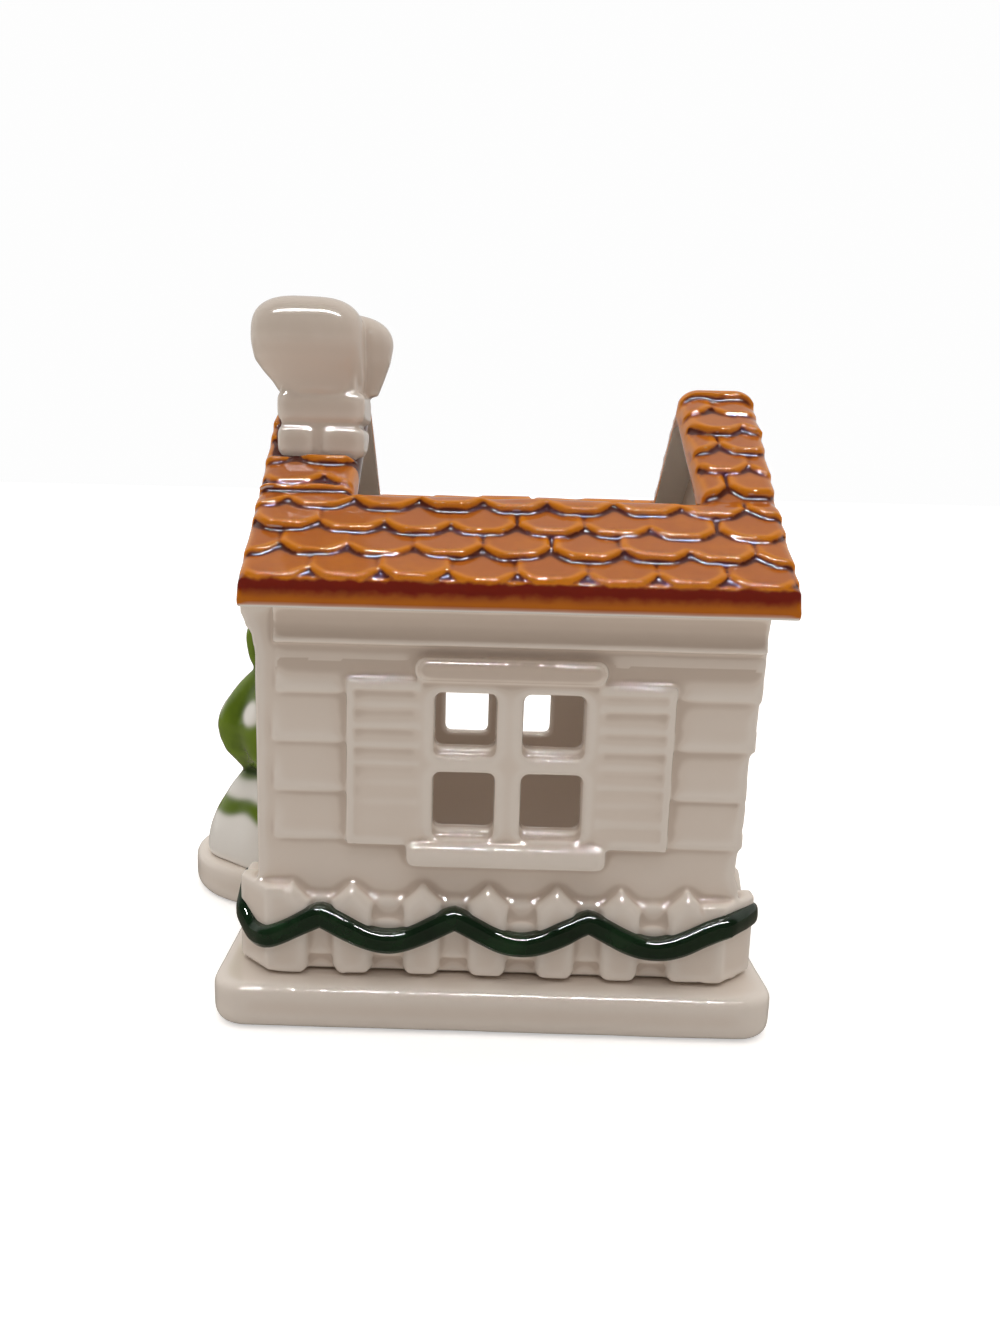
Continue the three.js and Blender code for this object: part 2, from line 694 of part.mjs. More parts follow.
// Rows of tiles on the front slope, from the fascia to the ridge
function tiles([x0, x1]) {
  const pieces = [];
  for (let row = 0; row * tileRow < slopeLength - tileLip; row += 1) {
    const start = openingLeft + tileStart + (row % 2) * (tilePitch / 2);
    const first = Math.ceil((x0 - start) / tilePitch - 0.5);
    const last = Math.floor((x1 - start) / tilePitch + 0.5);
    for (let i = first; i <= last; i += 1) {
      const geometry = tile().translate(start + i * tilePitch, row * tileRow - tileOverhang, 0);
      geometry.rotateX(slopeAngle);
      pieces.push(solid(geometry.translate(0, -eaveHalf, fasciaTop)));
    }
  }
  return pieces;
}

function eaveStrip(side) {
  const ends = [openingLeft, openingRight];
  const [outY, outZ] = [-tileRow * Math.sin(slopeAngle), tileRow * Math.cos(slopeAngle)];
  const kept = polygon([[-beyond, 0], [edgeY, 0], [edgeY, edgeZ], [openingFront + outY, openingHeight + outZ],
    [-beyond, openingHeight + outZ]]);
  const whole = join([extrude('x', eaveProfile(), ends), ...tiles(ends)]);
  const strip = whole.intersect(extrude('x', kept, ends));
  return side === 'front' ? strip : strip.mirror([0, 1, 0]);
}

function gableStrip(ends) {
  const slab = extrude('x', roofProfile(), ends);
  const half = join(tiles(ends)).intersect(block(ends, [-beyond, -ridgeRoll / 2], everywhere));
  const roll = extrude('x', circle(0, ridgeHeight - ridgeRollSink, ridgeRoll), ends, { curveSegments: 4 });
  return join([slab, roll, half, half.mirror([0, 1, 0])]);
}

// Chimney of soft bricks, in a shallow seat square to the slope
const seatFloor = (y) => slabHeight(y) - chimneySink;

function chimneySeat() {
  const front = chimneyFront - seatGap;
  const back = chimneyBack + seatGap;
  const rise = seatClearance * tileLip;
  const profile = polygon([[front, seatFloor(front)], [back, seatFloor(back)],
    [back, seatFloor(back) + 2 * rise], [front - rise * slope, seatFloor(front) + rise]]);
  return extrude('x', profile, [chimneyLeft - seatGap, chimneyRight + seatGap]);
}

function chimneyStack() {
  const bottom = (y) => seatFloor(y) + slopeGap;
  const outline = polygon([[chimneyFront, bottom(chimneyFront)], [chimneyBack, bottom(chimneyBack)],
    [chimneyBack, chimneyTop], [chimneyFront, chimneyTop]]);
  const core = block([chimneyLeft + brickProud, chimneyRight - brickProud],
    [chimneyFront + brickProud, chimneyBack - brickProud], [eaveHeight, chimneyTop]);
  const bricks = [];
  const courses = Math.ceil((chimneyTop - bottom(chimneyFront)) / courseHeight);
  for (let course = 1; course <= courses; course += 1) {
    const z = chimneyTop - course * courseHeight;
    const joinX = (chimneyLeft + chimneyRight) / 2 + (course % 2) * (chimneyWidth / 5);
    const joinY = (chimneyFront + chimneyBack) / 2 + ((course + 1) % 2) * (chimneyDepth / 5);
    for (const [x0, x1] of [[chimneyLeft, joinX - brickGap / 2], [joinX + brickGap / 2, chimneyRight]]) {
      for (const [y0, y1] of [[chimneyFront, joinY - brickGap / 2], [joinY + brickGap / 2, chimneyBack]]) {
        const shape = roundedRectangle(x0, x1, y0, y1, brickCorner);
        bricks.push(extrude('z', shape, [z, z + courseHeight - brickGap], { bevel: brickEdge }));
      }
    }
  }
  return join([core, ...bricks]).intersect(extrude('x', outline, [chimneyLeft, chimneyRight]));
}

// Two rounded heaps of snow with a neck under them, clear of the tiles
function heap(x, y, top, [rx, ry, rz]) {
  const ball = new THREE.SphereGeometry(1, 14, 9).rotateX(Math.PI / 2).scale(rx, ry, rz);
  return solid(ball.translate(x, y, top - rz));
}

function chimneyCap() {
  const x = (chimneyLeft + chimneyRight) / 2;
  const y = (chimneyFront + chimneyBack) / 2;
  const top = chimneyTop + capHeight;
  const half = capHeight / 2;
  const heaps = [
    heap(x, y - capForward, top, [capReach, capDepth, half + capSwell]),
    heap(x + capRearShift, y + capRearBack, top - capRearDrop, [capRearReach, capRearDepth, half - capSwell]),
    heap(x, y, chimneyTop + half, [chimneyWidth / 2, chimneyDepth / 2, half]),
  ];
  const tileTop = (tileLip + seatGap) / Math.cos(slopeAngle);
  const roof = polygon([[-eaveHalf, 0], [eaveHalf, 0], [eaveHalf, fasciaTop + tileTop],
    [0, ridgeHeight + tileTop], [-eaveHalf, fasciaTop + tileTop]]);
  return join(heaps).intersect(above(chimneyTop)).subtract(extrude('x', roof, everywhere));
}

// Tree in three tiers. Each widens from its foot to a rim and narrows again to its neck
const tiers = {
  foot: { bottom: 0, low: treeRadius - 0.8, rim: 2.7, wide: treeRadius, top: footTop, neck: 15.4 },
  middle: { bottom: footTop, low: 15, rim: 43.4, wide: 24.4, top: middleTop, neck: 10.8 },
  top: { bottom: middleTop, low: 10.4, rim: 72.2, wide: 15.4, top: treeTop, neck: 2.4 },
};
const tierSteps = 4;

function tier(name, swell) {
  const { bottom, low, rim, wide, top, neck } = tiers[name];
  const points = [[0, bottom]];
  for (let i = 0; i < tierSteps / 2; i += 1) {
    const share = (2 * i) / tierSteps;
    points.push([low + (wide - low) * Math.sin((share * Math.PI) / 2), bottom + (rim - bottom) * share]);
  }
  for (let i = 0; i <= tierSteps; i += 1) {
    const share = i / tierSteps;
    points.push([neck + (wide - neck) * Math.cos((share * Math.PI) / 2), rim + (top - rim) * share]);
  }
  points.push([0, top]);
  const profile = points.map(([r, z]) => new THREE.Vector2(r, plateThickness + z));
  const geometry = new THREE.LatheGeometry(profile, treeLobes * 4);
  geometry.rotateX(Math.PI / 2);
  const place = geometry.attributes.position;
  for (let i = 0; i < place.count; i += 1) {
    const angle = Math.atan2(place.getY(i), place.getX(i));
    const share = 1 + swell * Math.cos(treeLobes * angle);
    place.setXY(i, place.getX(i) * share, place.getY(i) * share);
  }
  return solid(geometry.translate(treeX, treeY, 0));
}

// The tree is cut where the house and its boards stand
function housePlace() {
  const wallFace = coreLeft - lap - seatGap;
  const backFace = fenceDepth / 2 + seatGap;
  const rearBoardEdge = coreDepth + lap - boardWidth - seatGap;
  const boardFace = coreLeft - boardProud - boardFlare - seatGap;
  const flareBottom = eaveHeight - boardFlareHeight - seatGap;
  return [block([wallFace, beyond], [-beyond, backFace], everywhere),
    block([boardFace, beyond], [rearBoardEdge, backFace], [flareBottom, beyond]),
    block([boardFace + boardFlare, beyond], [rearBoardEdge, backFace], [boardBottom - seatGap, beyond])];
}

function treeClearance() {
  return extrude('z', circle(treeX, treeY, footRadius + seatGap), everywhere, { curveSegments: 16 });
}

// Assembly: the plate and what is moulded on it
add('base_plate', basePlate(), whiteGlaze());
add('locating_step', locatingStep(), whiteGlaze());
add('candle_ring', candleRing(), whiteGlaze());

// Assembly: walls
add('wall_front', longWall('front'), whiteGlaze());
add('wall_back', longWall('back'), whiteGlaze());
add('gable_wall_left', cut(gableWall('left'), [doorSeat(), ...cornerBoardSeats()]), whiteGlaze());
add('gable_wall_right', cutWindow('right', gableWall('right')), whiteGlaze());
for (const side of ['front', 'back']) add(`cornice_${side}`, cornice(side), whiteGlaze());
for (const side of ['front', 'back', 'right']) addWindow(side);

// Assembly: entrance
add('door', door(), doorGlaze());
add('door_surround', doorSurround(), whiteGlaze());
add('doorstep', doorstep(), snowGlaze());
for (const place of ['front', 'back']) add(`corner_board_${place}`, cornerBoard(place), whiteGlaze());

// Assembly: fence, in four lengths, and the garland on it
const cornerLine = coreDepth - cornerReturn;
const fenceLengths = {
  front: block(everywhere, [-beyond, -cornerLine], everywhere),
  back: block(everywhere, [cornerLine, beyond], everywhere),
  right: block([0, beyond], [-cornerLine, cornerLine], everywhere),
  left: block([-beyond, 0], [-cornerLine, gateFront], everywhere),
};
const fence = fenceRing().subtract(treeClearance());
const rope = garlandRope().subtract(treeClearance());
for (const [side, region] of Object.entries(fenceLengths)) {
  add(`fence_${side}`, fence.intersect(region), whiteGlaze());
  add(`garland_${side}`, rope.intersect(region), garlandGlaze());
}

// Assembly: roof
add('roof_front', eaveStrip('front'), amberGlaze());
add('roof_back', eaveStrip('back'), amberGlaze());
add('roof_left', gableStrip([roofLeft, openingLeft]).subtract(chimneySeat()), amberGlaze());
add('roof_right', gableStrip([openingRight, roofRight]), amberGlaze());

// Assembly: chimney and tree
add('chimney_stack', chimneyStack(), whiteGlaze());
add('chimney_snow_cap', chimneyCap(), snowGlaze());
add('tree_foot', cut(tier('foot', footSwell), housePlace()), snowGlaze());
add('tree_middle', cut(tier('middle', middleSwell), housePlace()), treeGlaze());
add('tree_top', cut(tier('top', topSwell), housePlace()), treeGlaze());

export default group;
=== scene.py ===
"""Looks of the house candle holder: a glazed house shell on its base plate.

Lengths are in millimetres until a piece is finished, then its mesh is brought to metres.
+X is to the viewer's right along the window front, +Y away from it and +Z up.
A wall's own frame has x along it to the right of someone who faces it, y into it and z up.
"""

import math

import bmesh
import bpy
import numpy
from mathutils import Matrix, Vector
from mathutils.geometry import tessellate_polygon


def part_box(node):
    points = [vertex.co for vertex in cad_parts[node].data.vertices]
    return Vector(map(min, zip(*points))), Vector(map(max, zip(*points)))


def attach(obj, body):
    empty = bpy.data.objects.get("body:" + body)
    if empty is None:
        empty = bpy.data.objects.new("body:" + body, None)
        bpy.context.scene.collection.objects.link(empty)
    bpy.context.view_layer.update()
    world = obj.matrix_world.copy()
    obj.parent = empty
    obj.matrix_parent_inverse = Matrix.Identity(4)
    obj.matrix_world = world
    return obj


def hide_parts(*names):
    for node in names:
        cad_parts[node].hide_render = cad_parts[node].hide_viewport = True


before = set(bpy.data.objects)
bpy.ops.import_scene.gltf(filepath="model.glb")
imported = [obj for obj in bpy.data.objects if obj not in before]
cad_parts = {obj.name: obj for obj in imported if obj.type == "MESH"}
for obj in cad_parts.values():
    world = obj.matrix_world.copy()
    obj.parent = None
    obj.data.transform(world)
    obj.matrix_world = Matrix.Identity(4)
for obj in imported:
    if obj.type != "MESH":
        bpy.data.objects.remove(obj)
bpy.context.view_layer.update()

MM = 1000.0


def span(name):
    """A node's extent along x, y and z, in millimetres."""
    low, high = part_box(name)
    return [(low[i] * MM, high[i] * MM) for i in range(3)]


def middle(extent):
    return (extent[0] + extent[1]) / 2


def half_of(extent):
    return (extent[1] - extent[0]) / 2


# Sizes that the frame gives
PLATE_X, PLATE_Y, PLATE_Z = span("base_plate")
STEP_X, STEP_Y, STEP_Z = span("locating_step")
RING_X, RING_Y, RING_Z = span("candle_ring")
WALL_X, WALL_Y, WALL_Z = span("wall_front")
FENCE_X, FENCE_Y, FENCE_Z = span("fence_front")
GATE_Y = span("fence_left")[1]
ROPE_END = span("garland_back")[0][0]
FRAME_X, FRAME_Y, FRAME_Z = span("window_frame_front")
LINTEL_X, LINTEL_Y, LINTEL_Z = span("window_lintel_front")
SILL_X, SILL_Y, SILL_Z = span("window_sill_front")
SHUTTER_X, SHUTTER_Y, SHUTTER_Z = span("shutter_front_right")
_, CORNICE_Y, CORNICE_Z = span("cornice_front")
BOARD_X, BOARD_Y, BOARD_Z = span("corner_board_front")
_, DOOR_Y, DOOR_Z = span("door")
_, SURROUND_Y, SURROUND_Z = span("door_surround")
DOORSTEP_X, DOORSTEP_Y, DOORSTEP_Z = span("doorstep")
ROOF_LEFT_X = span("roof_left")[0]
ROOF_RIGHT_X = span("roof_right")[0]
EAVE_X = span("roof_front")[0]
STACK_X, STACK_Y, STACK_Z = span("chimney_stack")
CAP_TOP = span("chimney_snow_cap")[2][1]
FOOT_Z = span("tree_foot")[2]
TIER_Z = span("tree_middle")[2]
TOP_Z = span("tree_top")[2]

# Base
PLATE_CORNER = 9.0
STEP_CORNER = 8.0
RING_WALL = 2.4

# Walls
LAP = 1.0
WALL = 5.0
SUNK = 0.6
CORE_FRONT = WALL_Y[0] + LAP
CORE_HALF = -CORE_FRONT
CORE_LEFT = WALL_X[0]
CORE_RIGHT = WALL_X[1] - LAP
HOUSE_MIDDLE = middle(FRAME_X)
CUT_Y = 47.5
LEAN = 2.6
LEAN_X = (40.0, 55.0)
LEAN_Z = (38.0, 100.0)
SPREAD = 1.7
SPREAD_X = (52.0, 62.0)
SPREAD_Z = (39.0, 36.0)
SHADED_Z = (87.0, 90.0)
PLANK_START = 46.3
PLANK_HEIGHT = 12.34
EAVE = WALL_Z[1]

# Windows
PANE_WIDTH = 14.9
PANE_HEIGHT = 15.0
UPPER_PANE_HEIGHT = 13.9
PANE_CORNER = 1.8
MULLION = 6.6
TRANSOM = 5.8
PANE_SILL = 49.4
SILL_SLOPE = 1.7
FRAME_HALF = half_of(FRAME_X)
LINTEL_HALF = half_of(LINTEL_X)
SILL_HALF = half_of(SILL_X)
SLATS = 8
SHUTTER_INNER = SHUTTER_X[0] - HOUSE_MIDDLE
SHUTTER_WIDTH = SHUTTER_X[1] - SHUTTER_X[0]
SHUTTER_PROUD = CORE_FRONT - SHUTTER_Y[0]
SHUTTER_LOW = SHUTTER_Z[0] - 1.1
SHUTTER_HIGH = SHUTTER_Z[1] - 2.4
SHUTTER_STILE = 1.3

# Fence
FENCE_HALF_X = FENCE_X[1]
FENCE_HALF_Y = -FENCE_Y[0]
FENCE_CORNER = 8.5
PICKET_PROUD = 2.6
PICKET_WIDTH = 9.6
PICKET_PITCH = 16.64
PICKET_SHIFT = -1.4
PICKET_TIP = 35.3
PICKET_SHOULDER = 31.0
PICKET_RAKE = 1.8
FENCE_LEDGE = 31.0
POST_REACH = 12.4
RAIL_Z = (16.6, 26.2)
FENCE_FOOT = FENCE_Z[0] + 0.9
FENCE_INSIDE = ((-50, 55), (-49, 49))

# Garland
ROPE_RADIUS = 2.9
ROPE_OFFSET = -0.2
ROPE_MIDDLE = 24.6
ROPE_SWING = 3.3
ROPE_SINK = 1.5
ROPE_CLIMB = 2.6
ROPE_X = FENCE_HALF_X + ROPE_OFFSET
ROPE_Y = FENCE_HALF_Y + ROPE_OFFSET
ROPE_CORNER = FENCE_CORNER + ROPE_OFFSET * (2 - math.sqrt(2))
ROPE_SLANT = ROPE_CORNER * math.sqrt(2)

# Roof
FASCIA_TOP = 110.9
RIDGE = 159.4
EAVE_HALF = 61.6
SLOPE = (RIDGE - FASCIA_TOP) / EAVE_HALF
SLOPE_ANGLE = math.atan(SLOPE)
SLOPE_LENGTH = math.hypot(EAVE_HALF, RIDGE - FASCIA_TOP)
COSINE = math.cos(SLOPE_ANGLE)
SINE = math.sin(SLOPE_ANGLE)
ROOF_THICKNESS = 5.0
OPENING_HEIGHT = 131.0
OPENING_X = (EAVE_X[0], EAVE_X[1] - 1.2)
OPENING_Y = (RIDGE - OPENING_HEIGHT) / SLOPE
STRIP_START = (EAVE_HALF - OPENING_Y) / COSINE
INTO_SLAB = 4.0
TILE_PITCH = 16.0
STRIP_PITCH = 12.8
TILE_ROW = 8.55
TILE_FIRST_ROW = -0.5
TILE_OVERHANG = 0.9
TILT_RISE = 0.9
TILT_DEPTH = 4.6
TILE_MIDDLE = 42.9
STRIP_MIDDLE = 49.6
TILE_LIP = 2.3
TILE_GAP = 0.15
TILE_BOWL = 3.7
TILE_COVER = 3.2
TILE_EDGE = 0.4
RIM_RADIUS = 3.5
RIDGE_ROUNDER = 2.0
RIDGE_Z = (150.0, 158.0)
FLARE = (-0.9, 0.0, -1.1, 1.7)
FLARE_Z = (133.0, 160.0)

# Chimney
BRICK_X = (STACK_X[0] - 0.4, STACK_X[1] + 1.3)
BRICK_EDGE = 1.6
BRICK_GAP = 1.0
COURSE = 8.7
STACK_SUNK = 3.0

# Tree
TONGUE_RADIUS = 32.0
TREE_X = PLATE_X[0] + TONGUE_RADIUS
TREE_Y = PLATE_Y[1] - TONGUE_RADIUS
TREE_LOBES = 7
SNOW_LINE = 26.0
MOUND_Z = 34.0
PATCH_Z = 60.5
INTO_WALL_X = CORE_LEFT + WALL / 2
INTO_WALL_Y = CORE_HALF - WALL / 2

# Where the amber glaze turns dark or white, in metres, and how far a face looks down
BAND_TOP = (0.1120, 0.1132)
BAND_FOOT = (0.1083, 0.1106)
UNDER_Y = 0.050
UNDER_Z = 0.106
ROOM_Y = 0.049
ROOM_Z = 0.1155
LOOKS_DOWN = (-0.62, -0.40)


# Node trees

def reckoned(operation, swapped=False):
    """A method that reckons with a math node."""
    def method(*values):
        return sums(operation, *(reversed(values) if swapped else values))
    return method


class Value:
    """A node's output, to reckon with in its tree."""

    def __init__(self, tree, socket):
        self.tree = tree
        self.socket = socket

    __add__ = reckoned("ADD")
    __sub__ = reckoned("SUBTRACT")
    __rsub__ = reckoned("SUBTRACT", swapped=True)
    __mul__ = reckoned("MULTIPLY")
    __truediv__ = reckoned("DIVIDE")
    __pow__ = reckoned("POWER")
    __mod__ = reckoned("MODULO")
    __lt__ = reckoned("LESS_THAN")
    __gt__ = reckoned("GREATER_THAN")
    __abs__ = reckoned("ABSOLUTE")


class Outputs:
    """A node's outputs, each by its name or number."""

    def __init__(self, tree, made):
        self.tree = tree
        self.made = made

    def __getitem__(self, key):
        return Value(self.tree, self.made.outputs[key])


def node(tree, kind, inputs=None, **settings):
    """The outputs of a new node with its settings, and its inputs linked or set."""
    made = tree.nodes.new(kind)
    for key, value in settings.items():
        setattr(made, key, value)
    for key, value in (inputs or {}).items():
        if isinstance(value, Value):
            tree.links.new(value.socket, made.inputs[key])
        else:
            made.inputs[key].default_value = value
    return Outputs(tree, made)


def tree_of(values):
    return next(value.tree for value in values if isinstance(value, Value))


def sums(operation, *values):
    """The result of a math node."""
    return node(tree_of(values), "ShaderNodeMath", dict(enumerate(values)), operation=operation)[0]


def vectors(operation, *values, result="Vector"):
    """The result of a vector math node."""
    inputs = dict(enumerate(values))
    return node(tree_of(values), "ShaderNodeVectorMath", inputs, operation=operation)[result]


def compose(*values):
    return node(tree_of(values), "ShaderNodeCombineXYZ", dict(enumerate(values)))[0]


def parts(vector):
    split = node(vector.tree, "ShaderNodeSeparateXYZ", {"Vector": vector})
    return [split[axis] for axis in "XYZ"]


def noise(point, scale, detail=1.0):
    return node(point.tree, "ShaderNodeTexNoise", {"Vector": point, "Scale": scale, "Detail": detail})


SOCKETS = {float: "NodeSocketFloat", int: "NodeSocketInt", tuple: "NodeSocketVector"}


def titled(values):
    """Keywords as the names of inputs: cloud_scale becomes Cloud Scale."""
    return {key.replace("_", " ").title(): value for key, value in values.items()}


def named_inputs(tree, inputs):
    for label, value in titled(inputs).items():
        socket = tree.interface.new_socket(label, in_out="INPUT", socket_type=SOCKETS[type(value)])
        socket.default_value = value
    return Outputs(tree, tree.nodes.new("NodeGroupInput"))


def geometry_tree(name, **inputs):
    """A geometry tree with its named inputs. It also takes the material for its result."""
    tree = bpy.data.node_groups.new(name, "GeometryNodeTree")
    tree.is_modifier = True
    for label, side in (("Geometry", "INPUT"), ("Material", "INPUT"), ("Geometry", "OUTPUT")):
        tree.interface.new_socket(label, in_out=side, socket_type=f"NodeSocket{label}")
    return tree, named_inputs(tree, inputs)


def closed(result):
    """Ends a node group in its one result."""
    node(result.tree, "NodeGroupOutput", {0: result})
    return result.tree


def close_tree(geometry, given):
    """Ends a geometry tree in real geometry with its material."""
    tree = geometry.tree
    real = node(tree, "GeometryNodeRealizeInstances", {"Geometry": geometry})[0]
    return closed(node(tree, "GeometryNodeSetMaterial", {"Geometry": real, "Material": given["Material"]})[0])


def put(geometry, how, place):
    """Geometry with its points put to a Position or moved by an Offset."""
    return node(geometry.tree, "GeometryNodeSetPosition", {"Geometry": geometry, how: place})[0]


def stored(geometry, name, value, data_type):
    """Geometry with a value stored on each of its points."""
    return node(geometry.tree, "GeometryNodeStoreNamedAttribute",
                {"Geometry": geometry, "Name": name, "Value": value},
                data_type=data_type, domain="POINT")[0]


def smoothed(geometry):
    return node(geometry.tree, "GeometryNodeSetShadeSmooth", {"Geometry": geometry, "Shade Smooth": True})[0]


def position(tree):
    return node(tree, "GeometryNodeInputPosition")[0]


def dress(piece, tree, **values):
    """Adds a geometry tree to a piece, with its inputs set by their identifiers."""
    values = titled(values)
    modifier = piece.modifiers.new(tree.name, "NODES")
    modifier.node_group = tree
    for item in tree.interface.items_tree:
        if item.item_type == "SOCKET" and item.in_out == "INPUT" and item.name in values:
            modifier[item.identifier] = values[item.name]


# Geometry trees: pieces in a row, tiles on a slope, rope on a path, glaze

def scattered(points, key, given):
    """The given shape on each of the points, a little off as hand-tooled clay is."""
    tree = points.tree
    shift, turn, swell = [
        node(tree, "FunctionNodeRandomValue", {
            0: vectors("MULTIPLY", given[label], (-1.0, -1.0, -1.0)), 1: given[label],
            "ID": key, "Seed": given["Seed"] + float(i),
        }, data_type="FLOAT_VECTOR")[0]
        for i, label in enumerate(("Shift", "Turn", "Swell"))
    ]
    return node(tree, "GeometryNodeInstanceOnPoints", {
        "Points": put(points, "Offset", shift), "Instance": given["Geometry"], "Rotation": turn,
        "Scale": vectors("ADD", swell, (1.0, 1.0, 1.0)),
    })[0]


def row_tree():
    """Copies of the given shape in a row."""
    tree, given = geometry_tree(
        "pieces in a row", count=3, first=(0.0, 0.0, 0.0), pitch=(1.0, 0.0, 0.0),
        shift=(0.0, 0.0, 0.0), turn=(0.0, 0.0, 0.0), swell=(0.0, 0.0, 0.0), seed=1)
    row = node(tree, "GeometryNodeMeshLine", {
        "Count": given["Count"], "Start Location": given["First"], "Offset": given["Pitch"],
    }, mode="OFFSET")[0]
    return close_tree(scattered(row, node(tree, "GeometryNodeInputIndex")[0], given), given)


def tile_tree():
    """Rows of tiles on a slope, x along the eave and y up the slope, cut off at the field's edges."""
    tree, given = geometry_tree(
        "rows of tiles", low=(0.0, 0.0, 0.0), high=(1.0, 1.0, 0.0), first=(0.0, 0.0, 0.0), pitch=15.6,
        row=7.7, columns=12, rows=11, shift=(0.5, 0.4, 0.25), turn=(0.02, 0.03, 0.05),
        swell=(0.04, 0.06, 0.15), seed=5)
    index = node(tree, "GeometryNodeInputIndex")[0]
    row = sums("FLOOR", index / given["Columns"])
    column = index % given["Columns"] + (row % 2.0) * 0.5
    first_x, first_y, _ = parts(given["First"])
    place = compose(column * given["Pitch"] + first_x, row * given["Row"] + first_y, 0.0)
    points = node(tree, "GeometryNodePoints",
                  {"Count": given["Columns"] * given["Rows"], "Position": place})[0]
    low_x, low_y, _ = parts(given["Low"])
    high_x, high_y, _ = parts(given["High"])
    margin = given["Pitch"] * 0.52
    x, y, _ = parts(position(tree))
    beside = sums("MAXIMUM", x < low_x - margin, x > high_x + margin)
    beyond = sums("MAXIMUM", y < low_y - margin, y > high_y)
    kept = node(tree, "GeometryNodeDeleteGeometry", {
        "Geometry": stored(points, "tile", index, "INT"), "Selection": sums("MAXIMUM", beside, beyond),
    })[0]
    key = node(tree, "GeometryNodeInputNamedAttribute", {"Name": "tile"}, data_type="INT")[0]
    real = node(tree, "GeometryNodeRealizeInstances", {"Geometry": scattered(kept, key, given)})[0]
    x, y, z = parts(position(tree))
    inside = compose(sums("MAXIMUM", low_x, sums("MINIMUM", high_x, x)),
                     sums("MAXIMUM", low_y, sums("MINIMUM", high_y, y)), z)
    return close_tree(put(real, "Position", inside), given)


def rope_tree():
    """A rope of clay along the given edges, of uneven thickness and with rounded ends."""
    tree, given = geometry_tree(
        "rope of clay", radius=2.5, unevenness=0.1, scale=0.08, step=0.7, sides=20, squareness=0.7)
    route = node(tree, "GeometryNodeMeshToCurve", {"Mesh": given["Geometry"]})[0]
    even = node(tree, "GeometryNodeResampleCurve",
                {"Curve": route, "Length": given["Step"]}, mode="LENGTH")[0]
    steady = node(tree, "GeometryNodeSetCurveNormal", {"Curve": even}, mode="Z_UP")[0]
    swell = (noise(position(tree), given["Scale"])["Fac"] - 0.5) * (given["Unevenness"] * 2.0) + 1.0
    along = node(tree, "GeometryNodeSplineParameter")["Length"]
    whole = node(tree, "GeometryNodeSplineLength")["Length"]
    to_end = sums("MINIMUM", along, whole - along)
    near = sums("MINIMUM", 1.0, to_end / given["Radius"])
    round_end = sums("SQRT", sums("MAXIMUM", 0.02, 1.0 - (1.0 - near) ** 2.0))
    ring = node(tree, "GeometryNodeCurvePrimitiveCircle", {"Resolution": given["Sides"], "Radius": 1.0})[0]
    squarish = [sums("SIGN", value) * abs(value) ** given["Squareness"] for value in parts(position(tree))]
    swept = node(tree, "GeometryNodeCurveToMesh", {
        "Curve": steady, "Profile Curve": put(ring, "Position", compose(*squarish)),
        "Scale": given["Radius"] * swell * round_end, "Fill Caps": True,
    })[0]
    return close_tree(smoothed(swept), given)


def glaze_tree():
    """Fired glaze over raw clay: soft edges, a slight ripple, and how deep the glaze lies."""
    tree, given = geometry_tree("fired glaze", softness=6, pooling=30, ripple=0.12, ripple_scale=0.05)

    def blurred(times):
        return node(tree, "GeometryNodeBlurAttribute", {"Value": position(tree), "Iterations": times},
                    data_type="FLOAT_VECTOR")["Value"]

    rounded = put(given["Geometry"], "Position", blurred(given["Softness"]))
    centred = vectors("SUBTRACT", noise(position(tree), given["Ripple Scale"])["Color"], (0.5, 0.5, 0.5))
    both_ways = vectors("MULTIPLY", centred, (2.0, 2.0, 2.0))
    ripple = node(tree, "ShaderNodeVectorMath",
                  {0: both_ways, "Scale": given["Ripple"]}, operation="SCALE")[0]
    lift = vectors("SUBTRACT", blurred(given["Pooling"]), position(tree))
    normal = node(tree, "GeometryNodeInputNormal")[0]
    depth = vectors("DOT_PRODUCT", lift, normal, result="Value")
    return close_tree(smoothed(stored(put(rounded, "Offset", ripple), "pool", depth, "FLOAT")), given)


ROW = row_tree()
TILES = tile_tree()
ROPE = rope_tree()
GLAZE = glaze_tree()


# Raw clay shapes, each a list of points and a list of faces

def rectangle(x, y):
    return [(x[0], y[0]), (x[1], y[0]), (x[1], y[1]), (x[0], y[1])]


def rounded_rectangle(x, y, radius, steps=6, inset=0.0):
    """An outline with round corners, drawn in by an inset."""
    far = inset + radius
    points = []
    for cx, cy, start in ((x[1] - far, y[0] + far, -90), (x[1] - far, y[1] - far, 0),
                          (x[0] + far, y[1] - far, 90), (x[0] + far, y[0] + far, 180)):
        for i in range(steps + 1):
            angle = math.radians(start + 90 * i / steps)
            points.append((cx + radius * math.cos(angle), cy + radius * math.sin(angle)))
    return points


def circle(x, y, radius, steps):
    turns = [2 * math.pi * i / steps for i in range(steps)]
    return [(x + radius * math.cos(t), y + radius * math.sin(t)) for t in turns]


def quarter(steps):
    """Round a quarter of an edge: how far in from the side, and how far down from the face."""
    turns = [math.pi / 2 * i / steps for i in range(steps + 1)]
    return [(1 - math.cos(turn), 1 - math.sin(turn)) for turn in turns]


def level(outline, z):
    return [(x, y, z) for x, y in outline]


def upright(outline, y):
    return [(x, y, z) for x, z in outline]


